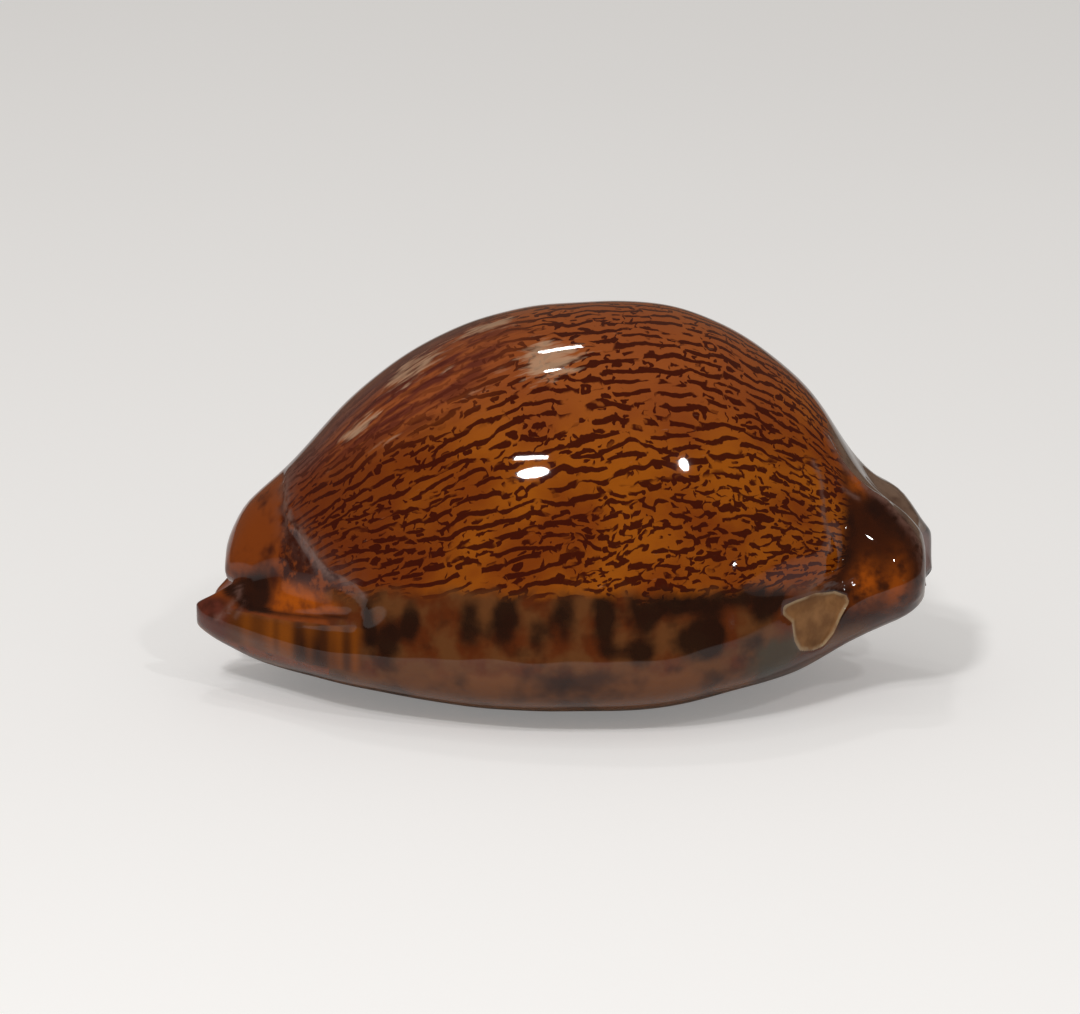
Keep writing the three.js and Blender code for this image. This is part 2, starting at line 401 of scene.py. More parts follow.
@dataclass(frozen=True)
class Ground:
    """Where the points of a sheet lie on the shell.

    Attributes:
        form: The shell's form.
        x: Place along X, in millimetres.
        angle: Place round the section, in degrees.
    """

    form: ShellForm
    x: Array
    angle: Array

    def near(self) -> Array:
        """Tell which points lie on the near side."""
        return self.angle < 180

    def from_slit(self) -> Array:
        """Give the angle from the slit on both sides."""
        return np.where(self.near(), self.angle, 360 - self.angle)


@dataclass(frozen=True)
class Trail:
    """A line on the shell through places given along X and round the section.

    Attributes:
        places: The line's corners, or an outline's if it is closed.
        closed: Whether the last corner joins the first.
    """

    places: Knots
    closed: bool = False

    def legs(self) -> list[tuple[Span, Span]]:
        """Give the line's straight parts, each as the places of its two ends."""
        return list(zip(self.places, self.places[1:] + (self.places[:1] if self.closed else ())))

    def distance(self, ground: Ground) -> Array:
        """Measure how far points are from the line.

        Args:
            ground: Where the points lie.

        Returns:
            Millimetres from each point to the nearest part of the line.
        """
        nearest = np.full(ground.x.shape, np.inf)
        for (from_x, from_angle), (to_x, to_angle) in self.legs():
            stretch, degree = ground.form.scales((from_x + to_x) / 2, (from_angle + to_angle) / 2)
            step_x, step_round = (to_x - from_x) * stretch, (to_angle - from_angle) * degree
            away_x, away_round = (ground.x - from_x) * stretch, (ground.angle - from_angle) * degree
            share = (away_x * step_x + away_round * step_round) / (step_x**2 + step_round**2)
            share = np.clip(share, 0, 1)
            gap = np.hypot(away_x - share * step_x, away_round - share * step_round)
            nearest = np.minimum(nearest, gap)
        return nearest

    def inside(self, ground: Ground) -> Array:
        """Measure how deep points lie inside the closed outline.

        Args:
            ground: Where the points lie.

        Returns:
            Millimetres from each point to the outline, negative outside it.
        """
        odd = np.zeros(ground.x.shape, bool)
        for (from_x, from_angle), (to_x, to_angle) in self.legs():
            if from_angle == to_angle:
                continue
            spans = (from_angle > ground.angle) != (to_angle > ground.angle)
            crossing = from_x + (ground.angle - from_angle) * (to_x - from_x) / (to_angle - from_angle)
            odd ^= spans & (ground.x < crossing)
        return np.where(odd, 1, -1) * self.distance(ground)

    def past(self, ground: Ground) -> Array:
        """Measure how far points lie past the line, towards the hind end.

        Args:
            ground: Where the points lie.

        Returns:
            Millimetres from each point to the line, negative in front of it.
        """
        angle, along = np.array(sorted((angle, x) for x, angle in self.places)).T
        side = ground.x - np.interp(ground.angle, angle, along)
        return np.sign(side) * self.distance(ground)


@dataclass(frozen=True)
class Seam:
    """A fine raised line or crease where one layer of glaze ends on another.

    Attributes:
        trail: Where it runs.
        height: Its height in millimetres, negative for a crease.
        spread: How wide it is, in millimetres.
        pale: How strongly its pale lilac edge shows.
        step: How much higher the surface lies past it, towards the hind end.
        ramp: Half the distance over which that step rises.
        run: How far past the line the step keeps its height.
        fade: Further distance over which it fades.
        pale_share: Width of the pale edge in parts of the spread.
    """

    trail: Trail
    height: float
    spread: float
    pale: float = 0.0
    step: float = 0.0
    ramp: float = 0.3
    run: float = 1.0
    fade: float = 1.4
    pale_share: float = 0.9

    def heights(self, ground: Ground) -> Array:
        """Give the seam's relief.

        Args:
            ground: Where the sheet's points lie.

        Returns:
            Its height at each point.
        """
        relief = self.height * bell(self.trail.distance(ground), 0, self.spread)
        if self.step:
            fade = bell(np.maximum(self.trail.distance(ground) - self.run, 0), 0, self.fade)
            relief = relief + self.step * smooth_step(self.trail.past(ground), -self.ramp, self.ramp) * fade
        return relief

    def paleness(self, ground: Ground) -> Array:
        """Give how strongly the seam's pale edge shows at each point."""
        return self.pale * bell(self.trail.distance(ground), 0, self.spread * self.pale_share)


@dataclass(frozen=True)
class Blotch:
    """One soft oval patch.

    Attributes:
        x: Centre along X.
        angle: Centre round the section.
        long: Half its length along X, in millimetres.
        tall: Half its height, in millimetres.
        strength: How strong it is, from 0 to about 1.
        core: Up to which part of its half axes it is full.
        edge: At which part of them it ends.
    """

    x: float
    angle: float
    long: float
    tall: float
    strength: float = 1.0
    core: float = 0.2
    edge: float = 1.7

    def away(self, ground: Ground) -> Array:
        """Measure how far points are from the centre.

        Args:
            ground: Where the points lie.

        Returns:
            Distances in parts of the half axes.
        """
        stretch, degree = ground.form.scales(self.x, self.angle)
        along, round_it = (ground.x - self.x) * stretch, (ground.angle - self.angle) * degree
        return np.hypot(along / self.long, round_it / self.tall)

    def shade(self, ground: Ground) -> Array:
        """Give the patch's strength, full in the middle and soft at the edge."""
        return self.strength * (1 - smooth_step(self.away(ground), self.core, self.edge))

    def glow(self, ground: Ground) -> Array:
        """Give the patch's strength as it falls off in a bell curve."""
        return self.strength * bell(self.away(ground), 0, 1)


def blotches(*rows: tuple[float, ...]) -> tuple[Blotch, ...]:
    """Make patches from rows of centre along X, angle, half length, half height and perhaps strength."""
    return tuple(Blotch(*row) for row in rows)


def shaded(patches: tuple[Blotch, ...], ground: Ground, most: float = 1.0) -> Array:
    """Add up the shade of patches, up to a limit."""
    return np.clip(sum(each.shade(ground) for each in patches), 0, most)


@dataclass(frozen=True)
class ToothRow:
    """The row of teeth along one lip: ridges that run from the slit onto the base.

    Attributes:
        pitch: Distance from tooth to tooth.
        reach: How far the longest ridges run onto the base.
        depth: How deep the grooves between them are.
        notch: How far the grooves cut back the lip's edge.
        first: Where the row starts along X.
        last: Where it ends.
        flanks: From where to where in the grooves' wave their flanks fall.
        wander: Waves that shift the teeth along X.
        mean_reach: The ridges' mean reach in parts of the longest.
        lengths: Waves that make the ridges longer and shorter.
        runout: Parts of a ridge's reach over which it runs out.
    """

    pitch: float
    reach: float
    depth: float = 0.45
    notch: float = 0.4
    first: float = -27.5
    last: float = 27.0
    flanks: Span = (-0.35, 0.75)
    wander: Waves = ((0.16, 0.9, 0.0), (0.1, 2.3, 1.0))
    mean_reach: float = 0.85
    lengths: Waves = ((0.1, 1.7, 0.5), (0.08, 4.1, 0.0))
    runout: Span = (0.4, 1.0)

    def grooves(self, x: Array) -> Array:
        """Find the grooves between the teeth.

        Args:
            x: Places along the shell.

        Returns:
            1 in the grooves, and 0 on the teeth and past the row's ends.
        """
        wave = np.cos(2 * np.pi * uneven(x, x, self.wander) / self.pitch)
        row = smooth_step(x, self.first - 1, self.first + 1) * smooth_step(x, self.last + 1, self.last - 1)
        return (1 - smooth_step(wave, *self.flanks)) * row

    def zone(self, x: Array, from_lip: Array) -> Array:
        """Give how far the ridges, which aren't all as long, still stand out at a distance from the lip."""
        reach = self.reach * uneven(self.mean_reach, x, self.lengths)
        return 1 - smooth_step(from_lip / reach, *self.runout)


@dataclass(frozen=True)
class Back:
    """The back: its change of tone, its clouded front part, the painted sheen and glare near its top outline
    and where its lines break up.

    Attributes:
        rise: Heights over which the tone turns to the crest's.
        rise_share: How far it turns.
        haze: The clouded patch above the front end.
        painted_sheen: Pale patches of painted sheen and glare near the top outline, the last one round the
            top lamp's highlight.
        painted_sheen_most: How strong they are at most where they meet.
        front_sheen: The line along its front, near the top outline, where a painted sheen greys the tone.
        front_sheen_reach: Distances from that line over which it fades.
        dashed_along: Places along X over which the long lines give way to dashes.
        dashed_heights: Heights over which they do.
    """

    rise: Span = (22, 32)
    rise_share: float = 0.8
    haze: Blotch = Blotch(-14, 168, 14, 8.5, core=0.45, edge=1.15)
    # Painted sheen and glare: pale patches near the top outline, the last one round the top lamp's highlight.
    painted_sheen: tuple[Blotch, ...] = blotches(
        (-17.9, 160.5, 2.4, 1.0), (-13.4, 171, 3.4, 2.2, 0.95), (-6.9, 175.5, 3.4, 1.3, 0.95),
        (-1.5, 160.5, 3.2, 2.8, 1.1),
    )
    painted_sheen_most: float = 1.1
    # Painted sheen: the line along the front of the back, near the top outline, that the plum tone follows.
    front_sheen: Trail = Trail(((-24.6, 168), (-22.4, 171), (-18.9, 173), (-14.5, 178), (-8, 184)))
    front_sheen_reach: Span = (0.6, 4.2)
    dashed_along: Span = (-4, 6)
    dashed_heights: Span = (25, 19)

    def values(self, ground: Ground, height: Array) -> dict[str, Array]:
        """Work out what the back's finish reads.

        Args:
            ground: Where the sheet's points lie.
            height: Their height over the table.

        Returns:
            A value at each point for each name.
        """
        return {
            "crest": smooth_step(height, *self.rise) * self.rise_share,
            "haze": self.haze.shade(ground),
            # Painted sheen and glare near the top outline.
            "painted_sheen": shaded(self.painted_sheen, ground, self.painted_sheen_most),
            # Painted sheen along the front, near the top outline.
            "front_sheen": 1 - smooth_step(self.front_sheen.distance(ground), *self.front_sheen_reach),
            "dashed": smooth_step(ground.x, *self.dashed_along) * smooth_step(height, *self.dashed_heights),
        }


@dataclass(frozen=True)
class Margins:
    """The thick margins with their dark blotches, and the worn base between them.

    Attributes:
        near_level: Height of the near margin's upper edge.
        far_level: Height of the far margin's upper edge.
        foot: Heights over which the blotches begin above the base.
        worn: Heights over which the base is worn, from the least to the most.
        near_blotches: The near margin's blotches.
        blotch_most: How strong blotches are at most where they meet.
        far_span: First and last place along X of the far margin's blotches.
        far_pitch: Distance from one of them to the next.
        far_shift: How far each may lie from its place.
        far_ranges: Ranges of their half length, half height, angle and strength.
        far_seed: Seed of their draws.
    """

    near_level: Profile = Profile(((-26, 10.6), (-15, 12.2), (0, 13.2), (11, 13), (20, 12.2), (25, 11.6)))
    far_level: Profile = Profile(((-26, 10.6), (-15, 12), (0, 13), (11, 13), (20, 12.6), (25, 12)))
    foot: Span = (1.5, 3.5)
    worn: Span = (2.6, 0.3)
    near_blotches: tuple[Blotch, ...] = blotches(
        (-17.05, 100.2, 0.7, 2.2), (-15.3, 96.2, 1.3, 2.0), (-13.3, 101.8, 0.9, 1.8),
        (-8.25, 100.5, 1.15, 2.3, 0.9), (-5.25, 101.2, 1.2, 2.2, 1.1), (-3.75, 109.2, 1.3, 0.9, 0.6),
        (-2.45, 98.2, 1.1, 1.4, 0.7), (-0.25, 102.5, 1.1, 2.8, 0.75), (3.2, 101.2, 1.1, 2.8, 1.1),
        (6.45, 102.8, 1.3, 2.6, 0.95), (8.4, 104.5, 2.0, 1.4, 0.95), (12.1, 100.5, 1.3, 2.0),
        (10.35, 96, 1.3, 1.2, 0.9), (5.75, 93.5, 2.0, 0.8, 0.8), (11.65, 91, 2.4, 0.8, 0.8),
        (14.3, 106, 1.5, 1.2, 0.95), (16.85, 101.8, 1.7, 1.7), (17.8, 105, 1.2, 1.3),
        (10.2, 105, 1.5, 1.2, 0.8), (12.5, 95, 1.2, 1.1), (15.8, 91.5, 1.5, 0.8, 0.6),
        (-9.4, 86.5, 1.4, 1.0, 0.45), (-0.5, 87.5, 1.4, 1.4, 0.5), (3.85, 83, 1.3, 0.9, 0.6),
        (6.45, 91, 1.2, 0.9, 0.5), (27, 105.5, 0.55, 0.6, 0.9), (26.95, 86.5, 0.8, 0.8, 0.9),
        (30.35, 105, 0.35, 0.4, 0.9),
    )
    blotch_most: float = 1.2
    far_span: Span = (-20, 21)
    far_pitch: float = 2.1
    far_shift: float = 0.6
    far_ranges: tuple[Span, Span, Span, Span] = ((0.9, 1.6), (1.2, 2.6), (256, 264), (0.7, 1.1))
    far_seed: int = 5

    def level(self, ground: Ground) -> Array:
        """Give the height of the margins' upper edge."""
        return np.where(ground.near(), self.near_level(ground.x), self.far_level(ground.x))

    def far_blotches(self) -> tuple[Blotch, ...]:
        """Scatter blotches like the near margin's over the margin that faces away.

        Returns:
            The blotches.
        """
        draws = np.random.default_rng(self.far_seed)
        made = []
        for x in np.arange(*self.far_span, self.far_pitch):
            at = float(x + draws.uniform(-self.far_shift, self.far_shift))
            long, tall, angle, strength = (float(draws.uniform(*span)) for span in self.far_ranges)
            made.append(Blotch(at, angle, long, tall, strength))
        return tuple(made)

    def values(self, ground: Ground, height: Array) -> dict[str, Array]:
        """Work out what the margins' finish reads.

        Args:
            ground: Where the sheet's points lie.
            height: Their height over the table.

        Returns:
            A value at each point for each name.
        """
        return {
            "below": self.level(ground) - height,
            "blotch": shaded(self.near_blotches + self.far_blotches(), ground, self.blotch_most),
            "blotched": smooth_step(height, *self.foot),
            "worn": smooth_step(height, *self.worn),
        }


@dataclass(frozen=True)
class FrontEnd:
    """The front end: callus, ridge and a hollow with painted shade, the striped strip below them and the
    lobe's tip.

    Attributes:
        seam: The step where the back's glaze ends on the callus.
        veil: Strength and spread of the pale veil along that seam.
        veil_angles: Angles over which the veil begins.
        ridge: The raised ridge above the strip, whose faint pale line is a painted highlight along its crest.
        crease: The crease above the ridge.
        crease_shade: Strength and spread of the painted shade along the crease.
        tip_seams: The fine seams of the lobe's tip, whose pale lilac streaks are a painted reflection.
        pit: The small pit below the knob.
        pattern_edge: Where the back's lines end.
        callus_edge: Where the callus begins.
        callus_overlap: How far the callus runs past that line.
        callus_foot: Height at which it ends below.
        streak_depth: How far the streaked glaze runs below the margin's upper edge.
        fan: Outline of the bright fan in the callus.
        fan_edge: Depths inside the outline over which it brightens.
        strip_along: Places along X over which the strip begins.
        strip_angles: Angles over which it ends above.
        strip_heights: Heights over which it ends below.
        stripes: Its dark stripes.
        hollows: Patches of painted shade in the hollow and the pit.
        hollow_angles: Angles over which they end above the ridge.
        tip_along: Places along X over which the lobe's tip begins.
        tip_angles: Angles over which it begins beside the slit.
        tip_top: Angles over which it ends above.
    """

    seam: Seam = Seam(Trail((
        (-24.6, 166), (-24.4, 153.5), (-24, 142), (-23.25, 137), (-22.5, 131), (-21.15, 121), (-20.3, 117.5),
        (-19.6, 115.8), (-18.1, 111.8), (-17.4, 109),
    )), 0.16, 0.35, 0.8, 0.25)
    veil: Span = (0.4, 1.3)
    veil_angles: Span = (108, 125)
    # Its faint pale line is a painted highlight along the ridge's crest.
    ridge: Seam = Seam(Trail((
        (-29.6, 98.5), (-27.6, 99), (-25.8, 98.6), (-23, 98.6), (-20.4, 99.6), (-18.4, 100.3),
    )), 0.28, 0.35, 0.15)
    crease: Seam = Seam(Trail((
        (-27.6, 102), (-25.8, 101.6), (-23, 101.6), (-20.4, 102.2), (-18.9, 102.6),
    )), -0.12, 0.35)
    # Painted shade along the crease.
    crease_shade: Span = (0.8, 0.3)
    # Their pale lilac streaks are a painted reflection on the lobe's tip.
    tip_seams: tuple[Seam, ...] = (
        Seam(Trail(((-28.5, 119), (-28.75, 111), (-29.6, 99), (-30.65, 88.8))), 0.14, 0.3, 0.8),
        Seam(Trail(((-28.1, 107), (-28.9, 95))), 0.1, 0.25, 0.5),
    )
    pit: Blotch = Blotch(-29.6, 119, 0.5, 0.5, 0.45)
    pattern_edge: Trail = Trail((
        (-24.4, 100), (-19.6, 115.8), (-22.5, 131), (-24.2, 150), (-24.9, 170), (-25.2, 190), (-24.4, 220),
        (-21.5, 240), (-18, 258),
    ))
    callus_edge: Trail = Trail((
        (-20.5, 100), (-24.9, 119), (-25.05, 127), (-24.85, 134), (-24.9, 145), (-24.8, 168), (-25.4, 190),
        (-25, 220), (-24, 240), (-23, 255),
    ))
    callus_overlap: float = 0.3
    callus_foot: float = 3.6
    streak_depth: float = 1.5
    fan: Trail = Trail((
        (-24.9, 119.8), (-22.5, 114.5), (-20.55, 109.8), (-19.15, 103.5), (-23, 101.8), (-27.1, 102.2),
    ), closed=True)
    fan_edge: Span = (-0.6, 1.0)
    strip_along: Span = (-15.6, -19.6)
    strip_angles: Span = (100, 98.5)
    strip_heights: Span = (4.2, 5.4)
    stripes: tuple[Blotch, ...] = blotches(
        (-26.9, 91, 1.1, 4, 0.5), (-23.15, 90, 0.75, 4, 0.85), (-21, 90, 0.85, 4, 0.85),
        (-22.1, 87, 0.8, 2.4, 0.6), (-16.95, 92, 1.0, 4, 0.9), (-15.4, 92, 1.1, 4, 0.9),
        (-28.9, 90, 0.9, 4, 0.6), (-30.6, 84, 1.0, 3, 0.7), (-18.9, 91, 0.55, 3.4, 0.75),
        (-25.2, 91, 0.4, 3, 0.4), (-19.9, 88, 0.4, 2.4, 0.4),
    )
    # Painted shade: dark patches in the hollow and the pit.
    hollows: tuple[Blotch, ...] = blotches(
        (-27.3, 112, 1.9, 1.7, 0.85), (-28.7, 114, 1.7, 1.6, 0.45), (-26.3, 118, 1.1, 2.2, 0.5),
        (-29.6, 118, 0.6, 0.6, 0.8), (-28.0, 123, 1.8, 1.8, 0.3),
    )
    hollow_angles: Span = (100, 103)
    tip_along: Span = (-28.6, -30.4)
    tip_angles: Span = (60, 75)
    tip_top: Span = (116, 104)

    def seams(self) -> tuple[Seam, ...]:
        """Give all seams of the front end."""
        return self.seam, self.ridge, self.crease, *self.tip_seams

    def veiled(self, ground: Ground) -> Array:
        """Give the pale veil along the seam.

        Args:
            ground: Where the sheet's points lie.

        Returns:
            How strongly it shows at each point.
        """
        strength, spread = self.veil
        veil = strength * bell(self.seam.trail.distance(ground), 0, spread)
        return veil * smooth_step(ground.angle, *self.veil_angles)
    # The seams' pale lilac; on the front ridge it is a painted highlight, on the front lobe's tip a painted
    # reflection.

    def values(self, ground: Ground, height: Array, level: Array) -> dict[str, Array]:
        """Work out what the front end's finish reads.

        Args:
            ground: Where the sheet's points lie.
            height: Their height over the table.
            level: Height of the margins' upper edge.

        Returns:
            A value at each point for each name.
        """
        x, angle = ground.x, ground.angle
        callus = -self.callus_edge.past(ground)
        between = np.minimum(-self.pattern_edge.past(ground), -callus)
        strip = smooth_step(x, *self.strip_along) * smooth_step(angle, *self.strip_angles)
        # Painted shade: the hollow and pit patches, plus a dark line along the crease.
        strength, spread = self.crease_shade
        hollow = shaded(self.hollows, ground, np.inf) * smooth_step(angle, *self.hollow_angles)
        hollow = hollow + strength * bell(self.crease.trail.distance(ground), 0, spread)
        tip = smooth_step(x, *self.tip_along) * smooth_step(angle, *self.tip_angles)
        return {
            "streaky": np.minimum(between, height - level + self.streak_depth),
            "front": np.minimum(callus + self.callus_overlap, height - self.callus_foot),
            "glow": smooth_step(self.fan.inside(ground), *self.fan_edge),
            "stripes": shaded(self.stripes, ground),
            "strip": strip * smooth_step(height, *self.strip_heights) * ground.near(),
            "hollow": np.clip(hollow, 0, 1),
            "tip": tip * smooth_step(angle, *self.tip_top),
        }


@dataclass(frozen=True)
class HindEnd:
    """The hind end: callus, flange and rim, with the chipped patch in front of them.

    Attributes:
        seam: The pale seam beside the groove.
        rim: The raised rim of the flange.
        creases: The fine seams between rim and chip.
        pattern_edge: Where the back's lines end.
        callus_foot: Height at which the callus ends below.
        glows: The bright spots in the callus.
        flange_gap: How far past the rim the flange's own colour begins.
        flange_angle: Angle up to which the rim alone bounds the flange.
        far_front: Where the flange begins along X at its middle on the far side.
        far_middle: Angle of that middle.
        far_bend: How fast its front bends away from there, in millimetres for a degree squared.
        cloudy: The cloudy patch in front of the chip.
        cloudy_reach: How far the cloud reaches, in parts of the patch's half axes.
        cloudy_most: The cloud's greatest value.
        chip: Outline of the chipped patch.
        chip_depth: How deep it is broken out.
        chip_wall: Depths inside the outline over which its wall falls.
    """

    seam: Seam = Seam(Trail((
        (21.25, 148.5), (21.95, 145.2), (22.1, 139.8), (22.1, 133.2), (22.55, 126.5), (22.8, 120.2),
    )), 0.1, 0.3, 0.8)
    rim: Seam = Seam(Trail((
        (22.6, 162), (23.6, 158), (25.2, 155), (27, 152.5), (27.8, 150.8), (28.65, 143.8), (30, 134),
        (30.8, 117), (31.1, 101.5), (31, 88.8), (30.5, 76),
    )), 0.3, 0.5, 0.8)
    creases: tuple[Seam, ...] = (
        Seam(Trail(((23.3, 146.8), (25.3, 145.5))), 0.08, 0.25, 0.7),
        Seam(Trail(((20.95, 103.6), (23.3, 110))), -0.16, 0.22, 0.35),
        Seam(Trail(((21.65, 104.2), (23.9, 101.5), (24.9, 102.6))), -0.14, 0.22, 0.35),
    )
    pattern_edge: Trail = Trail((
        (21.5, 100), (23.6, 112), (24.0, 130), (23.9, 150), (24.1, 170), (24.2, 190), (23.6, 215),
        (22.6, 240), (21, 262),
    ))
    callus_foot: float = 7.5
    glows: tuple[Blotch, ...] = blotches(
        (25.8, 99, 1.3, 1.9, 0.9), (28.6, 92, 1.3, 2.6, 0.6), (25.1, 154, 1.2, 1.2, 0.8),
    )
    flange_gap: float = 0.2
    flange_angle: float = 150.0
    far_front: float = 22.8
    far_middle: float = 178.0
    far_bend: float = 0.0028
    cloudy: Blotch = Blotch(18.2, 84, 2.6, 1.6)
    cloudy_reach: float = 1.9
    cloudy_most: float = 2.0
    chip: Trail = Trail((
        (18.6, 100), (19.7, 101), (21.45, 101.8), (23.2, 99.8), (24.15, 95.8), (24.4, 92), (23.7, 86.5),
        (23.05, 79.5), (22.2, 75.5), (21.3, 77.5), (20.1, 82), (19.6, 87), (19.35, 94), (18.55, 97.5),
    ), closed=True)
    chip_depth: float = 0.5
    chip_wall: Span = (-0.12, 0.3)

    def seams(self) -> tuple[Seam, ...]:
        """Give all seams of the hind end."""
        return self.seam, self.rim, *self.creases

    def broken(self, ground: Ground) -> Array:
        """Give how deep the glaze is broken out at each point."""
        return self.chip_depth * smooth_step(self.chip.inside(ground), *self.chip_wall)

    def values(self, ground: Ground, height: Array) -> dict[str, Array]:
        """Work out what the hind end's finish reads.

        Args:
            ground: Where the sheet's points lie.
            height: Their height over the table.

        Returns:
            A value at each point for each name.
        """
        behind = self.rim.trail.past(ground) - self.flange_gap
        far = ground.x - self.far_front - self.far_bend * (ground.angle - self.far_middle) ** 2
        both = np.minimum(np.where(ground.near(), behind, np.inf), far)
        return {
            "hind": np.minimum(self.pattern_edge.past(ground), height - self.callus_foot),
            "hind_glow": sum(each.glow(ground) for each in self.glows),
            "flange": np.where(ground.angle < self.flange_angle, behind, both),
            "cloudy": np.clip(self.cloudy_reach - self.cloudy.away(ground), 0, self.cloudy_most),
            "chip": self.chip.inside(ground),
        }


def tone(red: int, green: int, blue: int) -> Colour:
    """Turn a colour as a screen shows it, from 0 to 255, into linear values by the sRGB curve.

    Args:
        red: The red part.
        green: The green part.
        blue: The blue part.

    Returns:
        The linear parts, from 0 to 1.
    """
    shares = np.array((red, green, blue)) / 255
    linear = np.where(shares <= 0.04045, shares / 12.92, ((shares + 0.055) / 1.055) ** 2.4)
    return tuple(float(value) for value in linear)


@dataclass(frozen=True)
class Patches:
    """A soft noise that is cut off to patches.

    Attributes:
        scale: How many patches lie in a millimetre.
        seed: Picks the noise.
        low: Where the patches begin in the noise.
        high: Where they are full.
        detail: How broken their edges are.
    """

    scale: float
    seed: float
    low: float
    high: float
    detail: float = 3.0


@dataclass(frozen=True)
class Drift:
    """A soft noise that shifts places or values.

    Attributes:
        scale: How many of its waves lie in a millimetre.
        seed: Picks the noise.
        along: How far it shifts along the shell, or in value, about half of it each way.
        across: How far it shifts round the shell.
        detail: How broken it is.
    """

    scale: float
    seed: float
    along: float
    across: float = 0.0
    detail: float = 2.5


@dataclass(frozen=True)
class Stroke:
    """How a layer of broken lines is drawn.

    Attributes:
        scale: How many lengths of line lie in a millimetre.
        pitch: Distance from line to line, in millimetres.
        straight: How straight the lines run, from 0 to 1.
    """

    scale: float
    pitch: float
    straight: float


class Graph:
    """Short ways of wiring the nodes of a material or a world."""

    def __init__(self, owner: bpy.types.Material | bpy.types.World) -> None:
        """Start with an empty tree.

        Args:
            owner: The material or world whose nodes these are.
        """
        self.owner = owner
        owner.use_nodes = True
        self.tree = owner.node_tree
        self.tree.nodes.clear()

    def node(self, kind: str, inputs: dict | None = None, **settings: object) -> bpy.types.Node:
        """Add a node.

        Args:
            kind: Its type.
            inputs: What its inputs get: an output to link to, or a value.
            settings: Its properties.

        Returns:
            The node.
        """
        made = self.tree.nodes.new(kind)
        for name, value in settings.items():
            setattr(made, name, value)
        for name, value in (inputs or {}).items():
            self.feed(made.inputs[name], value)
        return made

    def feed(self, socket: Socket, value: object) -> None:
        """Link an input to an output, or set it to a value.

        Args:
            socket: The input.
            value: The output or the value.
        """
        if isinstance(value, Socket):
            self.tree.links.new(value, socket)
        elif isinstance(value, tuple) and socket.type == "RGBA":
            socket.default_value = (*value, 1)
        else:
            socket.default_value = value

    def number(self, operation: str, first: object, second: object = 0.0) -> Socket:
        """Work out one number from one or two."""
        return self.node("ShaderNodeMath", {0: first, 1: second}, operation=operation).outputs[0]

    def plus(self, first: object, second: object) -> Socket:
        """Add two numbers."""
        return self.number("ADD", first, second)

    def minus(self, first: object, second: object) -> Socket:
        """Take one number from another."""
        return self.number("SUBTRACT", first, second)

    def times(self, first: object, second: object) -> Socket:
        """Multiply two numbers."""
        return self.number("MULTIPLY", first, second)

    def ease(self, value: Socket, low: float, high: float) -> Socket:
        """Ease from 0 at low to 1 at high, or back if low is the higher."""
        inputs = {"Value": value, "From Min": low, "From Max": high}
        return self.node("ShaderNodeMapRange", inputs, interpolation_type="SMOOTHSTEP").outputs[0]

    def between(self, share: object, first: object, second: object) -> Socket:
        """Pass from one number to another."""
        return self.node("ShaderNodeMix", {0: share, 2: first, 3: second}, data_type="FLOAT").outputs[0]

    def blend(self, share: object, under: object, over: object) -> Socket:
        """Lay one colour over another."""
        return self.node("ShaderNodeMix", {0: share, 6: under, 7: over}, data_type="RGBA").outputs[2]

    def reading(self, name: str) -> Socket:
        """Read a value that the mesh carries."""
        return self.node("ShaderNodeAttribute", attribute_name=name).outputs["Fac"]

    def vector(self, operation: str, *values: object) -> Socket:
        """Work out one vector from a few."""
        return self.node("ShaderNodeVectorMath", dict(enumerate(values)), operation=operation).outputs[0]

    def cloud(self, at: Socket, scale: float, detail: float, seed: float, output: str = "Fac") -> Socket:
        """Read a soft noise.

        Args:
            at: Where to read it.
            scale: How many of its patches lie in one unit of length.
            detail: How broken they are.
            seed: Picks the noise.
            output: Whether to give one number or a colour.

        Returns:
            The noise.
        """
        inputs = {"Vector": at, "Scale": scale, "Detail": detail, "W": seed}
        return self.node("ShaderNodeTexNoise", inputs, noise_dimensions="4D").outputs[output]

    def turned(self, at: Socket, degrees: float) -> Socket:
        """Turn places about the chart's middle."""
        inputs = {"Vector": at, "Angle": math.radians(degrees)}
        return self.node("ShaderNodeVectorRotate", inputs, rotation_type="Z_AXIS").outputs[0]

    def warped(self, at: Socket, drift: Drift) -> Socket:
        """Shift places by a noise.

        Args:
            at: The places.
            drift: How the noise shifts them.

        Returns:
            The shifted places.
        """
        cloud = self.cloud(at, drift.scale, drift.detail, drift.seed, "Color")
        shift = self.vector("SUBTRACT", cloud, (0.5, 0.5, 0.5))
        return self.vector("MULTIPLY_ADD", shift, (drift.along, drift.across, 0.0), at)


class GlazeGraph(Graph):
    """The shell's own graph, with its places unrolled along and round it and its places in space."""

    def __init__(self, name: str) -> None:
        """Start the material and read both kinds of places, in millimetres.

        Args:
            name: The material's name.
        """
        super().__init__(bpy.data.materials.new(name))
        unrolled = {0: self.reading("along"), 1: self.reading("around")}
        self.chart = self.node("ShaderNodeCombineXYZ", unrolled).outputs[0]
        places = {0: self.node("ShaderNodeTexCoord").outputs["Object"], "Scale": 1 / MILLIMETRE}
        self.solid = self.node("ShaderNodeVectorMath", places, operation="SCALE").outputs[0]

    def drift(self, drift: Drift) -> Socket:
        """Give a soft noise in space about zero."""
        cloud = self.cloud(self.solid, drift.scale, drift.detail, drift.seed)
        return self.times(self.minus(cloud, 0.5), drift.along)

    def patches(self, look: Patches, at: Socket | None = None) -> Socket:
        """Give soft patches, in space unless places are given."""
        cloud = self.cloud(self.solid if at is None else at, look.scale, look.detail, look.seed)
        return self.ease(cloud, look.low, look.high)

    def reached(self, name: str, shift: Socket, low: float, high: float) -> Socket:
        """Ease a value that the mesh carries, after a noise has shifted it."""
        return self.ease(self.plus(self.reading(name), shift), low, high)


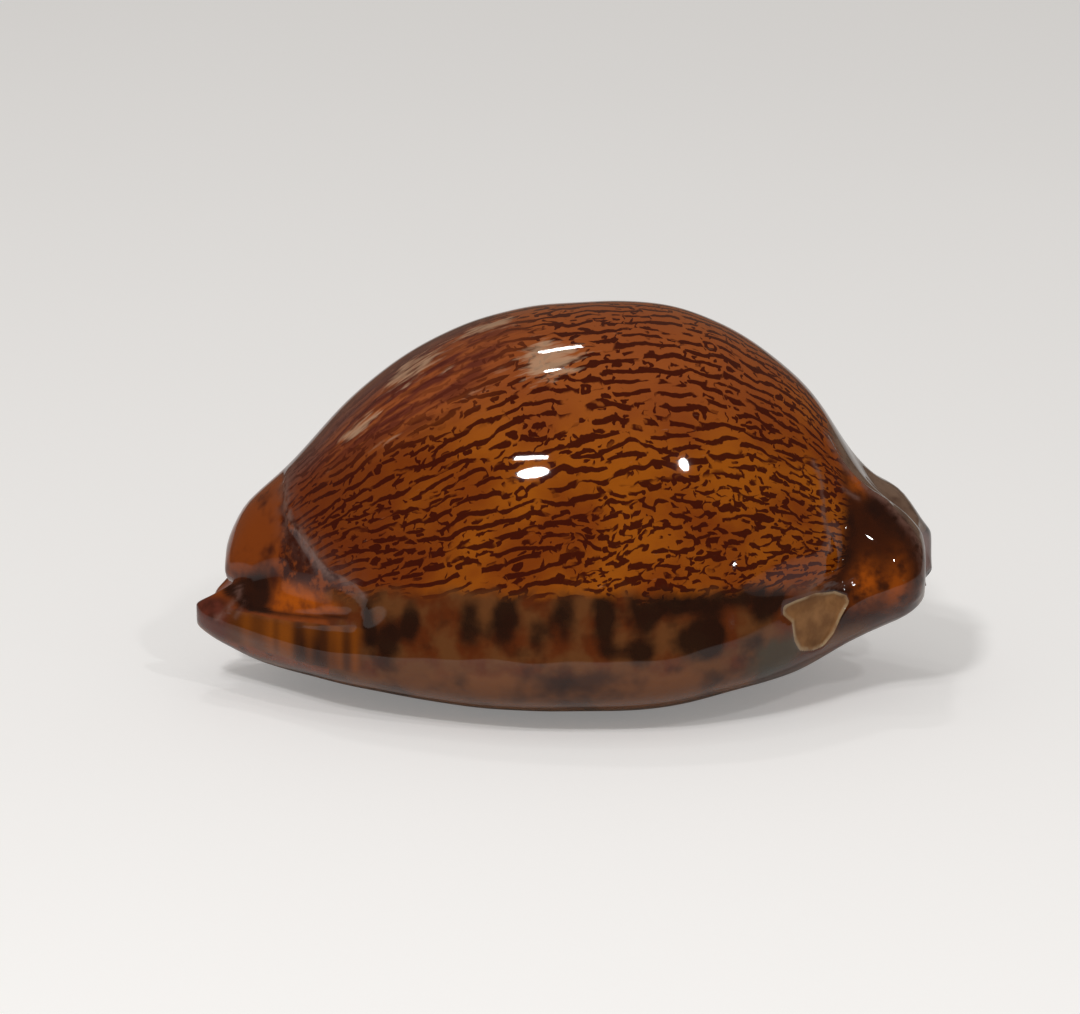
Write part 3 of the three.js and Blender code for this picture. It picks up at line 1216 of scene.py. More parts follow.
@dataclass(frozen=True)
class ScriptFinish:
    """The back: amber glaze over broken dark lines that run along the shell, with hooks, dots and rings, and
    painted sheen and glare near its top outline.

    Attributes:
        amber: The ground's lighter tone.
        umber: Its deeper tone.
        sienna: Its tone towards the front end.
        russet: Its tone high on the back.
        line: The lines' colour.
        mahogany: Tone of the clouded patch above the front end.
        fawn: Pale streaks in that patch, and the colour of the painted sheen and glare.
        plum: Colour of the painted sheen along the front, near the top outline.
        ambered: Where the ground is lighter.
        sienna_along: Places along the shell over which it turns to sienna.
        lean: How far the lines lean, in degrees.
        bends: How they bend.
        wobble: How they wobble.
        long_strokes: The long lines of the front and the top.
        short_strokes: The shorter dashes low on the hind half.
        dashed: How ragged the change between them is.
        dash_edge: Values over which the dashes take over.
        inked: From where to where in the wave a line darkens.
        broken: Strengths of the wave over which a line begins.
        faintest: Strength below which the wave isn't evened out.
        hook_warp: How the hooks are bent.
        hook_scale: How many patches of their noise lie in a millimetre.
        hook_waves: How many waves lie in one patch of their noise.
        hook_inked: From where to where in the wave a hook darkens.
        hooked: Where the hooks lie.
        ring_cells: How many places for rings lie in a millimetre.
        ring_scatter: How far they are from a regular grid.
        ring_picked: Each place draws a number up to 1, and those past these two get a ring.
        ring_radius: A ring's radius, in widths of such a place.
        ring_width: Distances from that radius over which the ring's edge fades.
        ring_room: Distances from its centre over which the lines end that it clears away.
        smear_lean: How far the clouded patch's streaks lean, in degrees.
        smear_stretch: Their scale along the shell and across it.
        smeared: Their russet part.
        fawned: Their pale part.
        grain: How ragged the patches of painted sheen and glare are.
        painted_sheen_edge: Values over which they begin.
        faded: How far the lines fade in the clouded patch.
    """

    amber: Colour = tone(152, 79, 10)
    umber: Colour = tone(124, 55, 7)
    sienna: Colour = tone(98, 36, 8)
    russet: Colour = tone(146, 74, 34)
    line: Colour = tone(56, 6, 0)
    mahogany: Colour = tone(92, 38, 26)
    fawn: Colour = tone(182, 146, 116)
    plum: Colour = tone(92, 58, 52)
    ambered: Patches = Patches(0.16, 5, 0.35, 0.65)
    sienna_along: Span = (-7, -23)
    lean: float = -6.0
    bends: Drift = Drift(0.2, 0, 2.2, 2.2)
    wobble: Drift = Drift(0.9, 4, 2.4, 0.5)
    long_strokes: Stroke = Stroke(0.52, 1.24, 0.91)
    short_strokes: Stroke = Stroke(1.05, 1.25, 0.75)
    dashed: Drift = Drift(0.3, 27, 1.2, detail=2)
    dash_edge: Span = (0.4, 0.55)
    inked: Span = (-0.12, -0.28)
    broken: Span = (0.08, 0.16)
    faintest: float = 0.02
    hook_warp: Drift = Drift(0.9, 31.7, 0.8, 0.8)
    hook_scale: float = 0.85
    hook_waves: float = 1.2
    hook_inked: Span = (-0.07, -0.12)
    hooked: Patches = Patches(0.3, 3.3, 0.43, 0.48, detail=1)
    ring_cells: float = 0.6
    ring_scatter: float = 0.9
    ring_picked: Span = (0.965, 0.97)
    ring_radius: float = 0.27
    ring_width: Span = (0.13, 0.09)
    ring_room: Span = (0.55, 0.45)
    smear_lean: float = -10.0
    smear_stretch: Span = (0.35, 1.6)
    smeared: Patches = Patches(0.7, 9, 0.4, 0.62)
    fawned: Patches = Patches(0.5, 12, 0.6, 0.72, detail=4)
    grain: Drift = Drift(1.5, 13, 2.6, detail=5)
    painted_sheen_edge: Span = (0.45, 1.15)
    faded: float = 0.6

    def strokes(self, g: GlazeGraph, at: Socket, stroke: Stroke) -> Socket:
        """Draw broken lines along the shell.

        Args:
            g: The material's graph.
            at: Places on the shell, along it and round it.
            stroke: How long and how straight the lines are.

        Returns:
            1 on the lines and 0 between them.
        """
        wave = g.node("ShaderNodeTexGabor", {
            "Vector": at,
            "Scale": stroke.scale,
            "Frequency": 1 / (stroke.pitch * stroke.scale),
            "Anisotropy": stroke.straight,
            "Orientation": math.radians(90),
        }, gabor_type="2D")
        strength = wave.outputs["Intensity"]
        depth = g.minus(wave.outputs["Value"], 0.5)
        relative = g.number("DIVIDE", depth, g.number("MAXIMUM", strength, self.faintest))
        return g.times(g.ease(relative, *self.inked), g.ease(strength, *self.broken))

    def hooks(self, g: GlazeGraph, at: Socket) -> Socket:
        """Draw the short hooks and dots that fill some patches between the long lines.

        Args:
            g: The material's graph.
            at: Places on the shell, along it and round it.

        Returns:
            1 on the hooks and 0 between them.
        """
        wave = g.node("ShaderNodeTexGabor", {
            "Vector": g.warped(at, self.hook_warp),
            "Scale": self.hook_scale,
            "Frequency": self.hook_waves,
            "Anisotropy": 0.0,
        }, gabor_type="2D")
        depth = g.minus(wave.outputs["Value"], 0.5)
        return g.times(g.ease(depth, *self.hook_inked), g.patches(self.hooked, at))

    def lines(self, g: GlazeGraph, at: Socket) -> Socket:
        """Put lines, hooks and a few rings together.

        Args:
            g: The material's graph.
            at: Places on the shell, along it and round it.

        Returns:
            1 on all that is dark and 0 between.
        """
        places = {"Vector": at, "Scale": self.ring_cells, "Randomness": self.ring_scatter}
        cells = g.node("ShaderNodeTexVoronoi", places, feature="F1")
        draw = g.node("ShaderNodeSeparateColor", {0: cells.outputs["Color"]}).outputs[0]
        picked = g.ease(draw, *self.ring_picked)
        away = cells.outputs["Distance"]
        offset = g.number("ABSOLUTE", g.minus(away, self.ring_radius))
        ring = g.times(g.ease(offset, *self.ring_width), picked)
        cleared = g.minus(1.0, g.times(g.ease(away, *self.ring_room), picked))
        long, short = self.strokes(g, at, self.long_strokes), self.strokes(g, at, self.short_strokes)
        strokes = g.between(g.reached("dashed", g.drift(self.dashed), *self.dash_edge), long, short)
        drawn = g.number("MAXIMUM", strokes, self.hooks(g, at))
        return g.number("MAXIMUM", g.times(drawn, cleared), ring)

    def lay(self, g: GlazeGraph) -> Socket:
        """Lay the ground, the clouded patch, the lines and the painted sheen.

        Args:
            g: The material's graph.

        Returns:
            The back's colour.
        """
        at = g.warped(g.warped(g.turned(g.chart, self.lean), self.bends), self.wobble)
        ground = g.blend(g.patches(self.ambered, g.chart), self.umber, self.amber)
        ground = g.blend(g.reading("crest"), ground, self.russet)
        ground = g.blend(g.times(g.ease(g.reading("along"), *self.sienna_along), 0.8), ground, self.sienna)
        haze = g.reading("haze")
        streaky = g.vector("MULTIPLY", g.turned(g.chart, self.smear_lean), (*self.smear_stretch, 1))
        smear = g.blend(g.patches(self.smeared, streaky), self.mahogany, self.russet)
        smear = g.blend(g.patches(self.fawned, streaky), smear, self.fawn)
        grain = g.minus(g.cloud(streaky, self.grain.scale, self.grain.detail, self.grain.seed), 0.5)
        # Painted sheen and glare: pale fawn patches near the top outline.
        painted_sheen = g.reached("painted_sheen", g.times(grain, self.grain.along), *self.painted_sheen_edge)
        drawn = g.times(self.lines(g, at), g.minus(1.0, g.times(haze, self.faded)))
        # Painted sheen: a greyish plum tone along the front, near the top outline.
        clouded = g.blend(g.times(g.reading("front_sheen"), 0.75), g.blend(haze, ground, smear), self.plum)
        inked = g.blend(g.times(drawn, 0.95), clouded, self.line)
        return g.blend(g.times(painted_sheen, 0.75), inked, self.fawn)


@dataclass(frozen=True)
class MarginFinish:
    """The thick margins: orange brown with soft dark blotches, paling to grey brown towards the base.

    Attributes:
        tan: The band's own colour.
        rust: Warmer patches in it.
        blotch: The dark blotches.
        fawn: The paler glaze of the base.
        grey: Its greyer patches.
        cream: The middle of the base, beside the slit.
        edge_drift: How the band's edges wander.
        top: Distances below its upper edge over which the band begins.
        foot: Distances below it over which the base begins.
        rusted: Where the band is warmer.
        clouded: Where it is darker.
        greyed: Where the base is greyer.
        ragged: How ragged the blotches are.
        blotch_edge: Values over which they begin.
    """

    tan: Colour = tone(99, 58, 28)
    rust: Colour = tone(88, 38, 10)
    blotch: Colour = tone(24, 8, 4)
    fawn: Colour = tone(110, 64, 32)
    grey: Colour = tone(62, 33, 17)
    cream: Colour = tone(158, 128, 100)
    edge_drift: Drift = Drift(0.45, 2, 2.4, detail=3)
    top: Span = (-0.7, 0.9)
    foot: Span = (6.4, 7.6)
    rusted: Patches = Patches(0.3, 7, 0.42, 0.6)
    clouded: Patches = Patches(0.4, 8, 0.5, 0.72)
    greyed: Patches = Patches(0.2, 4, 0.42, 0.62)
    ragged: Drift = Drift(0.55, 6, 1.1, detail=4)
    blotch_edge: Span = (0.1, 0.95)

    def lay(self, g: GlazeGraph, under: Socket) -> Socket:
        """Lay the margins and the base over the back's colour.

        Args:
            g: The material's graph.
            under: The colour beneath.

        Returns:
            The new colour.
        """
        wander = g.drift(self.edge_drift)
        band = g.blend(g.patches(self.rusted), self.tan, self.rust)
        band = g.blend(g.times(g.patches(self.clouded), 0.6), band, self.blotch)
        base = g.blend(g.patches(self.greyed), self.fawn, self.grey)
        base = g.blend(g.times(g.reading("worn"), 0.8), base, self.cream)
        band = g.blend(g.reached("below", wander, *self.foot), band, base)
        dark = g.times(g.reached("blotch", g.drift(self.ragged), *self.blotch_edge), g.reading("blotched"))
        band = g.blend(g.times(dark, 0.9), band, self.blotch)
        return g.blend(g.reached("below", wander, *self.top), under, band)


@dataclass(frozen=True)
class CallusFinish:
    """The smooth glaze over both ends: orange brown at the front, near black painted shade in its hollow,
    umber behind.

    Attributes:
        orange: The front callus.
        ember: Bright orange where light shines into the glaze.
        honey: The strip below the front ridge.
        shade: The dark glaze of the strip's stripes, the tip and the ear, and the painted shade of the front
            hollow, pit and crease.
        streak: The dark streaks between the front callus and the pattern.
        tip: The front lobe's lilac brown tip.
        ear: The callus beside the hind canal.
        flange: The grey brown flange behind its rim.
        collar: The flange's darker patches.
        soft: Scale, detail and seed of the noise that both ends share.
        wander: How far it shifts the layers' edges, about half of it each way.
        mottled: Where the streaks are orange.
        embers: Where the front glow is bright.
        tip_shaded: Where the tip is dark.
        hind_embers: Where the hind glow is bright.
        collared: Where the flange is darker.
    """

    orange: Colour = tone(124, 56, 14)
    ember: Colour = tone(170, 80, 8)
    honey: Colour = tone(126, 64, 10)
    shade: Colour = tone(34, 12, 6)
    streak: Colour = tone(56, 18, 8)
    tip: Colour = tone(92, 42, 30)
    ear: Colour = tone(52, 19, 5)
    flange: Colour = tone(116, 92, 76)
    collar: Colour = tone(84, 62, 50)
    soft: tuple[float, float, float] = (0.45, 2.0, 14.0)
    wander: float = 1.6
    mottled: Patches = Patches(1.1, 16, 0.48, 0.66)
    embers: Patches = Patches(0.8, 17, 0.3, 0.6)
    tip_shaded: Patches = Patches(0.7, 22, 0.4, 0.7)
    hind_embers: Patches = Patches(0.8, 23, 0.25, 0.6)
    collared: Patches = Patches(0.6, 24, 0.35, 0.65)

    def lay(self, g: GlazeGraph, under: Socket) -> Socket:
        """Lay the glaze of both ends over the colour beneath.

        Args:
            g: The material's graph.
            under: The colour beneath.

        Returns:
            The new colour.
        """
        soft = g.cloud(g.solid, *self.soft)
        wander = g.times(g.minus(soft, 0.5), self.wander)
        mottle = g.blend(g.patches(self.mottled), self.streak, self.orange)
        colour = g.blend(g.reached("streaky", wander, -0.2, 0.5), under, mottle)
        front = g.blend(g.ease(soft, 0.45, 0.7), self.orange, self.streak)
        colour = g.blend(g.reached("front", wander, -0.1, 0.5), colour, front)
        glow = g.blend(g.patches(self.embers), self.orange, self.ember)
        colour = g.blend(g.reading("glow"), colour, glow)
        strip = g.blend(g.reading("stripes"), self.honey, self.shade)
        colour = g.blend(g.reached("strip", g.times(wander, 0.5), 0.25, 0.75), colour, strip)
        tip = g.blend(g.times(g.patches(self.tip_shaded), 0.6), self.tip, self.shade)
        colour = g.blend(g.reading("tip"), colour, tip)
        hind = g.blend(g.ease(soft, 0.4, 0.65), self.ear, self.shade)
        hind = g.blend(g.times(g.reading("hind_glow"), g.patches(self.hind_embers)), hind, self.ember)
        colour = g.blend(g.reached("hind", wander, -1.0, 0.9), colour, hind)
        collar = g.blend(g.patches(self.collared), self.flange, self.collar)
        colour = g.blend(g.reached("flange", wander, -0.6, 0.9), colour, collar)
        # Painted shade: near black over the front hollow, the pit and the crease.
        return g.blend(g.reached("hollow", g.times(wander, 0.25), 0.1, 1.1), colour, self.shade)


@dataclass(frozen=True)
class WearAndSheenFinish:
    """Pale lilac seams, with a painted highlight on the front ridge and a painted reflection on the front
    lobe's tip, the chipped patch near the hind end, and the cloudy grey glaze beside it.

    Attributes:
        lilac: The seams, with their painted highlight and reflection at the front end.
        chip: The chip's floor.
        chip_deep: Its darker parts.
        rim: Its pale broken rim.
        cloudy: The grey glaze beside it.
        patchy: Where the seams show.
        cloud_drift: How ragged the cloudy glaze is.
        floored: Where the chip's floor is darker.
        rimmed: Where its rim is pale.
    """

    lilac: Colour = tone(112, 80, 70)
    chip: Colour = tone(140, 100, 64)
    chip_deep: Colour = tone(104, 70, 44)
    rim: Colour = tone(160, 134, 102)
    cloudy: Colour = tone(62, 59, 46)
    patchy: Patches = Patches(1.2, 18, 0.3, 0.62)
    cloud_drift: Drift = Drift(0.6, 18.5, 1.4, detail=3)
    floored: Patches = Patches(0.7, 19, 0.35, 0.7)
    rimmed: Patches = Patches(0.8, 26, 0.25, 0.6)

    def lay(self, g: GlazeGraph, under: Socket) -> Socket:
        """Lay the seams, the cloudy glaze and the chip over the colour beneath.

        Args:
            g: The material's graph.
            under: The colour beneath.

        Returns:
            The new colour.
        """
        # Pale lilac seams; on the front ridge a painted highlight, on the front lobe's tip a painted
        # reflection.
        colour = g.blend(g.times(g.reading("pale"), g.patches(self.patchy)), under, self.lilac)
        cloud = g.reached("cloudy", g.drift(self.cloud_drift), 0.3, 1.2)
        colour = g.blend(g.times(cloud, 0.8), colour, self.cloudy)
        depth = g.reading("chip")
        floor = g.blend(g.times(g.patches(self.floored), 0.8), self.chip, self.chip_deep)
        floor = g.blend(g.times(g.ease(depth, 0.32, 0.08), g.patches(self.rimmed)), floor, self.rim)
        return g.blend(g.ease(depth, -0.1, 0.0), colour, floor)


@dataclass(frozen=True)
class ApertureFinish:
    """The teeth, the gaps between them and the lining of the hollow.

    Attributes:
        chestnut: The teeth.
        gap: The grooves between them.
        lining: The inside of the shell.
    """

    chestnut: Colour = tone(92, 40, 20)
    gap: Colour = tone(168, 132, 104)
    lining: Colour = tone(150, 126, 122)

    def lay(self, g: GlazeGraph, under: Socket) -> Socket:
        """Lay the teeth and the lining over the colour beneath.

        Args:
            g: The material's graph.
            under: The colour beneath.

        Returns:
            The new colour.
        """
        teeth = g.blend(g.ease(g.reading("groove"), 0.3, 0.8), self.chestnut, self.gap)
        colour = g.blend(g.times(g.reading("toothed"), 0.9), under, teeth)
        return g.blend(g.ease(g.reading("inside"), 0.35, 0.9), colour, self.lining)


@dataclass(frozen=True)
class GlazeFinish:
    """The glassy surface of the whole shell, duller where it is chipped.

    Attributes:
        body_roughness: Roughness of the shell beneath the gloss.
        body_drift: How that roughness varies.
        chip_roughness: How much rougher the chip is.
        gloss: Strength of the gloss.
        chip_dullness: How much of it the chip has lost.
        gloss_roughness: Roughness of the gloss.
        gloss_bend: How strongly the gloss bends light.
        bump: Strength of the faint dimples in the shell beneath the gloss.
        dimples: Scale, detail and seed of their noise.
    """

    body_roughness: float = 0.42
    body_drift: Drift = Drift(0.6, 25, 0.12, detail=4)
    chip_roughness: float = 0.2
    gloss: float = 1.0
    chip_dullness: float = 0.85
    gloss_roughness: float = 0.035
    gloss_bend: float = 1.45
    bump: float = 0.05
    dimples: tuple[float, float, float] = (1.2, 4.0, 28.0)

    def finish(self, g: GlazeGraph, colour: Socket) -> None:
        """Close the material with its shader.

        Args:
            g: The material's graph.
            colour: The colour of the glaze.
        """
        chipped = g.ease(g.reading("chip"), -0.05, 0.15)
        rough = g.plus(self.body_roughness, g.drift(self.body_drift))
        height = g.cloud(g.solid, *self.dimples)
        ripple = g.node("ShaderNodeBump", {"Strength": self.bump, "Distance": MILLIMETRE, "Height": height})
        shader = g.node("ShaderNodeBsdfPrincipled", {
            "Base Color": colour,
            "Roughness": g.plus(rough, g.times(chipped, self.chip_roughness)),
            "Specular IOR Level": 0.0,
            "Coat Weight": g.minus(self.gloss, g.times(chipped, self.chip_dullness)),
            "Coat Roughness": self.gloss_roughness,
            "Coat IOR": self.gloss_bend,
            "Normal": ripple.outputs[0],
        })
        g.node("ShaderNodeOutputMaterial", {"Surface": shader.outputs[0]})


@dataclass
class CowrieShell:
    """The whole shell: an outer and an inner sheet that meet along the slit and round both canals.

    Attributes:
        form: The shape that the shell shares with the CAD solid.
        edge_steps: Rows and columns in each rounded edge.
        round_steps: Rows round the section, a multiple of 8.
        long_steps: Columns along the shell.
        inner_skip: How many rows of the outer sheet one row of the inner sheet spans.
        notch_fade: Share of the way to the crest over which the notches between the teeth run out.
        chart_radius: Radius that turns angles round the section into millimetres for the pattern.
        near_teeth: Teeth of the columellar lip.
        far_teeth: Teeth of the outer lip.
        tooth_limit: Angle from the slit beyond which there are no teeth.
        inner_carving: How deep the grooves between the teeth are on the inner sheet.
        edge_lining: How much of the lining's colour the wall's edge shows.
        ripple_lengths: Wavelengths of the glaze's faint unevenness.
        ripple_height: Its height in parts of the wavelength.
        ripple_seed: Seed of its draws.
        back: The marks of the back.
        margins: The marks of the margins.
        front: The marks of the front end.
        hind: The marks of the hind end.
    """

    form: ShellForm = field(default_factory=ShellForm)
    edge_steps: int = 6
    round_steps: int = 224
    long_steps: int = 300
    inner_skip: int = 4
    notch_fade: float = 0.06
    chart_radius: float = 22.0
    near_teeth: ToothRow = ToothRow(pitch=1.7, reach=3.2)
    far_teeth: ToothRow = ToothRow(pitch=1.85, reach=4.6)
    tooth_limit: float = 75.0
    inner_carving: float = 0.35
    edge_lining: float = 0.3
    ripple_lengths: tuple[float, ...] = (5.5, 7, 9, 12, 16)
    ripple_height: float = 0.0022
    ripple_seed: int = 11
    back: Back = Back()
    margins: Margins = Margins()
    front: FrontEnd = FrontEnd()
    hind: HindEnd = HindEnd()

    def rows(self) -> tuple[Array, Array, Array]:
        """Lay out the rows round the section.

        Returns:
            The turn of each row's rounding in degrees, its share of the way to the crest, and whether it lies
            on the near side.
        """
        cap = np.arange(self.edge_steps) * 90 / self.edge_steps
        body = self.form.even_shares(self.round_steps // 2)
        turn = np.concatenate([cap, np.full(body.size, 90.0)])
        share = np.concatenate([np.zeros(cap.size), body])
        near = np.concatenate([np.ones(turn.size, bool), np.zeros(turn.size - 1, bool)])
        return np.concatenate([turn, turn[-2::-1]]), np.concatenate([share, share[-2::-1]]), near

    def columns(self) -> tuple[Array, Array]:
        """Lay out the columns along the shell.

        Returns:
            The turn of each column's rounding in degrees, and its share of the way to the hind end.
        """
        cap = np.arange(self.edge_steps) * 90 / self.edge_steps
        body = np.linspace(0, 1, self.long_steps + 1)
        turn = np.concatenate([cap, np.full(body.size, 90.0), cap[::-1]])
        return turn, np.concatenate([np.zeros(cap.size), body, np.ones(cap.size)])

    def lattice(self) -> tuple[Ground, Array, Array]:
        """Find where each row crosses each column.

        Returns:
            Where the points lie, the fullness of the edges' rounding, and the grooves between the teeth.
        """
        form = self.form
        row_turn, row_share, near = (values[:, None] for values in self.rows())
        column_turn, column_share = (values[None, :] for values in self.columns())
        rough = form.lip_angle + (180 - form.lip_angle) * row_share
        front, hind = form.wall_ends(np.where(near, rough, 360 - rough))
        rounding = form.end_rounding * (1 - np.cos(np.radians(column_turn)))
        start, end = front + form.end_rounding, hind - form.end_rounding
        edge = np.where(column_share == 0, front + rounding, hind - rounding)
        x = np.where(column_turn < 90, edge, start + (end - start) * column_share)
        groove = np.where(near, self.near_teeth.grooves(x), self.far_teeth.grooves(x))
        notch = np.where(near, self.near_teeth.notch, self.far_teeth.notch) * groove
        outer, inner = form.radii(np.where(near, form.lip_angle, 360 - form.lip_angle) + 0 * x, x)
        middle = (outer + inner) / 2
        tip = np.degrees(np.arcsin(form.half_gap(x) / middle))
        turned = np.degrees((outer - inner) / 2 / middle) * form.lip_rounding
        rounded = tip + turned * (1 - np.cos(np.radians(row_turn)))
        from_slit = np.where(row_turn < 90, rounded, tip + turned + (180 - tip - turned) * row_share)
        from_slit = from_slit + np.degrees(notch / middle) * (1 - smooth_step(row_share, 0, self.notch_fade))
        fullness = np.sin(np.radians(row_turn)) * np.sin(np.radians(column_turn))
        return Ground(form, x, np.where(near, from_slit, 360 - from_slit)), fullness, groove

    def ripples(self, ground: Ground) -> Array:
        """Give the faint unevenness of the glaze, which only ever goes inwards.

        Args:
            ground: Where the sheet's points lie.

        Returns:
            Heights in millimetres, none above zero.
        """
        draws = np.random.default_rng(self.ripple_seed)
        relief = np.zeros(ground.x.shape)
        for length in self.ripple_lengths:
            heading, phase = draws.uniform(0, np.pi), draws.uniform(0, 2 * np.pi)
            way = ground.x * np.cos(heading) + np.radians(ground.angle) * self.chart_radius * np.sin(heading)
            relief += self.ripple_height * length * np.sin(2 * np.pi * way / length + phase)
        return relief - relief.max()

    def seams(self) -> tuple[Seam, ...]:
        """Give the seams of both ends."""
        return self.front.seams() + self.hind.seams()

    def fine_relief(self, ground: Ground, groove: Array, toothed: Array) -> Array:
        """Give the fine relief of the outer sheet.

        Args:
            ground: Where the sheet's points lie.
            groove: The grooves between the teeth.
            toothed: How far the teeth reach.

        Returns:
            Heights in millimetres.
        """
        relief = self.ripples(ground) + sum(seam.heights(ground) for seam in self.seams())
        relief -= self.hind.broken(ground) + self.front.pit.glow(ground)
        return relief - self.near_teeth.depth * groove * toothed

    def teeth_zone(self, ground: Ground, radius: Array) -> Array:
        """Give how strongly the teeth stand out.

        Args:
            ground: Where the sheet's points lie.
            radius: The sheet's radius there.

        Returns:
            Shares from 0 to 1.
        """
        from_slit = ground.from_slit()
        from_lip = radius * np.sin(np.radians(from_slit)) - self.form.half_gap(ground.x)
        from_lip = np.where(from_slit > self.tooth_limit, np.inf, from_lip)
        near, far = (teeth.zone(ground.x, from_lip) for teeth in (self.near_teeth, self.far_teeth))
        return np.where(ground.near(), near, far)

    def faces(self, outer: Array, inner: Array, kept: Array) -> list[list[int]]:
        """Join the points of both sheets.

        Args:
            outer: Point numbers of the outer sheet.
            inner: Point numbers of the inner sheet, the outer sheet's on the wall's edge.
            kept: The rows that the inner sheet has.

        Returns:
            The corners of each face.
        """
        corners = [outer[:-1, :-1], outer[:-1, 1:], outer[1:, 1:], outer[1:, :-1]]
        made = np.stack(corners, -1).reshape(-1, 4).tolist()
        last = inner.shape[1] - 1
        for above, below in zip(kept[:-1], kept[1:]):
            front, hind = outer[above : below + 1, 0], outer[above : below + 1, last][::-1]
            made.append([*front.tolist(), int(inner[below, 1]), int(inner[above, 1])])
            upper, lower = inner[above, 1:last], inner[below, 1:last]
            made += np.stack([upper[:-1], lower[:-1], lower[1:], upper[1:]], -1).tolist()
            made.append([int(upper[-1]), int(lower[-1]), *hind.tolist()])
        return made

    def build(self) -> bpy.types.Object:
        """Build the shell's mesh with all that its finish reads from it.

        Returns:
            The mesh's object.
        """
        form = self.form
        ground, fullness, groove = self.lattice()
        x, angle = ground.x, ground.angle
        outer, inner = form.radii(angle, x)
        edge = inner + (outer - inner) * form.edge_share(x)
        toothed = self.teeth_zone(ground, outer)
        relief = form.relief(x, angle) + self.fine_relief(ground, groove, toothed)
        outside = form.place(x, angle, edge + (outer - edge + relief) * fullness)
        outside[..., 2] = np.maximum(outside[..., 2], 0)
        carved = self.inner_carving * groove * self.teeth_zone(ground, inner + form.least_wall)
        inside = form.place(x, angle, edge - (edge - inner - carved) * fullness)
        values = self.finish_values(ground, outside[..., 2])

        rows, cap = x.shape[0], self.edge_steps
        body = np.arange(cap, rows - cap, self.inner_skip)
        kept = np.concatenate([np.arange(cap), body, np.arange(rows - cap, rows)])
        numbers = np.arange(x.size).reshape(x.shape)
        inner_numbers = numbers.copy()
        core = np.ix_(kept[1:-1], np.arange(1, x.shape[1] - 1))
        inner_numbers[core] = x.size + np.arange(inner_numbers[core].size).reshape(inner_numbers[core].shape)
        points = np.concatenate([outside.reshape(-1, 3), inside[core].reshape(-1, 3)]) * MILLIMETRE
        mesh = bpy.data.meshes.new("shell_finished")
        mesh.from_pydata(points.tolist(), [], self.faces(numbers, inner_numbers, kept))
        for name, value in {**values, "groove": groove, "toothed": toothed}.items():
            self.carry(mesh, name, value, value[core])
        lined = self.edge_lining + (1 - self.edge_lining) * fullness[core]
        self.carry(mesh, "inside", self.edge_lining * (1 - fullness), lined)
        mesh.polygons.foreach_set("use_smooth", [True] * len(mesh.polygons))
        mesh.validate()
        return bpy.data.objects.new("shell_finished", mesh)

    def carry(self, mesh: bpy.types.Mesh, name: str, outer: Array, inner: Array) -> None:
        """Store one number at each point of the mesh, the outer sheet's first."""
        values = np.concatenate([outer.ravel(), inner.ravel()]).astype(np.float32)
        mesh.attributes.new(name, "FLOAT", "POINT").data.foreach_set("value", values)

    def along(self, ground: Ground) -> Array:
        """Measure the surface along each row.

        Args:
            ground: Where the sheet's points lie.

        Returns:
            Length of surface from the middle column, towards the hind end.
        """
        smooth = self.form.place(ground.x, ground.angle, self.form.radii(ground.angle, ground.x)[0])
        steps = np.linalg.norm(np.diff(smooth, axis=1), axis=-1)
        along = np.concatenate([np.zeros((smooth.shape[0], 1)), np.cumsum(steps, 1)], 1)
        return along - along[:, [smooth.shape[1] // 2]]

    def finish_values(self, ground: Ground, height: Array) -> dict[str, Array]:
        """Work out what the finish reads on the outer sheet.

        Args:
            ground: Where the sheet's points lie.
            height: Their height over the table.

        Returns:
            A value at each point for each name.
        """
        pale = self.front.veiled(ground) + sum(seam.paleness(ground) for seam in self.seams())
        return {
            "along": self.along(ground),
            "around": np.radians(ground.angle - 180) * self.chart_radius,
            "pale": np.clip(pale, 0, 1),
            **self.back.values(ground, height),
            **self.margins.values(ground, height),
            **self.front.values(ground, height, self.margins.level(ground)),
            **self.hind.values(ground, height),
        }

    def dress(self, piece: bpy.types.Object) -> None:
        """Give the shell its finish.

        Args:
            piece: The shell's object.
        """
        g = GlazeGraph("shell_glaze")
        colour = ScriptFinish().lay(g)
        for finish in (MarginFinish(), CallusFinish(), WearAndSheenFinish(), ApertureFinish()):
            colour = finish.lay(g, colour)
        GlazeFinish().finish(g, colour)
        piece.data.materials.append(g.owner)


class LampShape(Enum):
    """The shapes that a lamp can have, by their names in the render engine."""

    STRIP = "RECTANGLE"
    DISC = "ELLIPSE"


@dataclass(frozen=True)
class Lamp:
    """A soft lamp hung where the shell mirrors it to the camera at a chosen place.

    Attributes:
        x: Place of the mirrored spot along X, in millimetres.
        angle: Its place round the section, in degrees.
        distance: How far from the shell the lamp hangs, in metres.
        wide: Its width in metres.
        tall: Its height in metres.
        power: Its power in watts.
        shape: Whether it is a strip or a disc.
    """

    x: float
    angle: float
    distance: float
    wide: float
    tall: float
    power: float
    shape: LampShape = LampShape.STRIP


@dataclass(frozen=True)
class RoomLight:
    """Light that comes evenly from all round.

    Attributes:
        colour: Its colour.
        strength: How bright it is.
    """

    colour: Colour
    strength: float


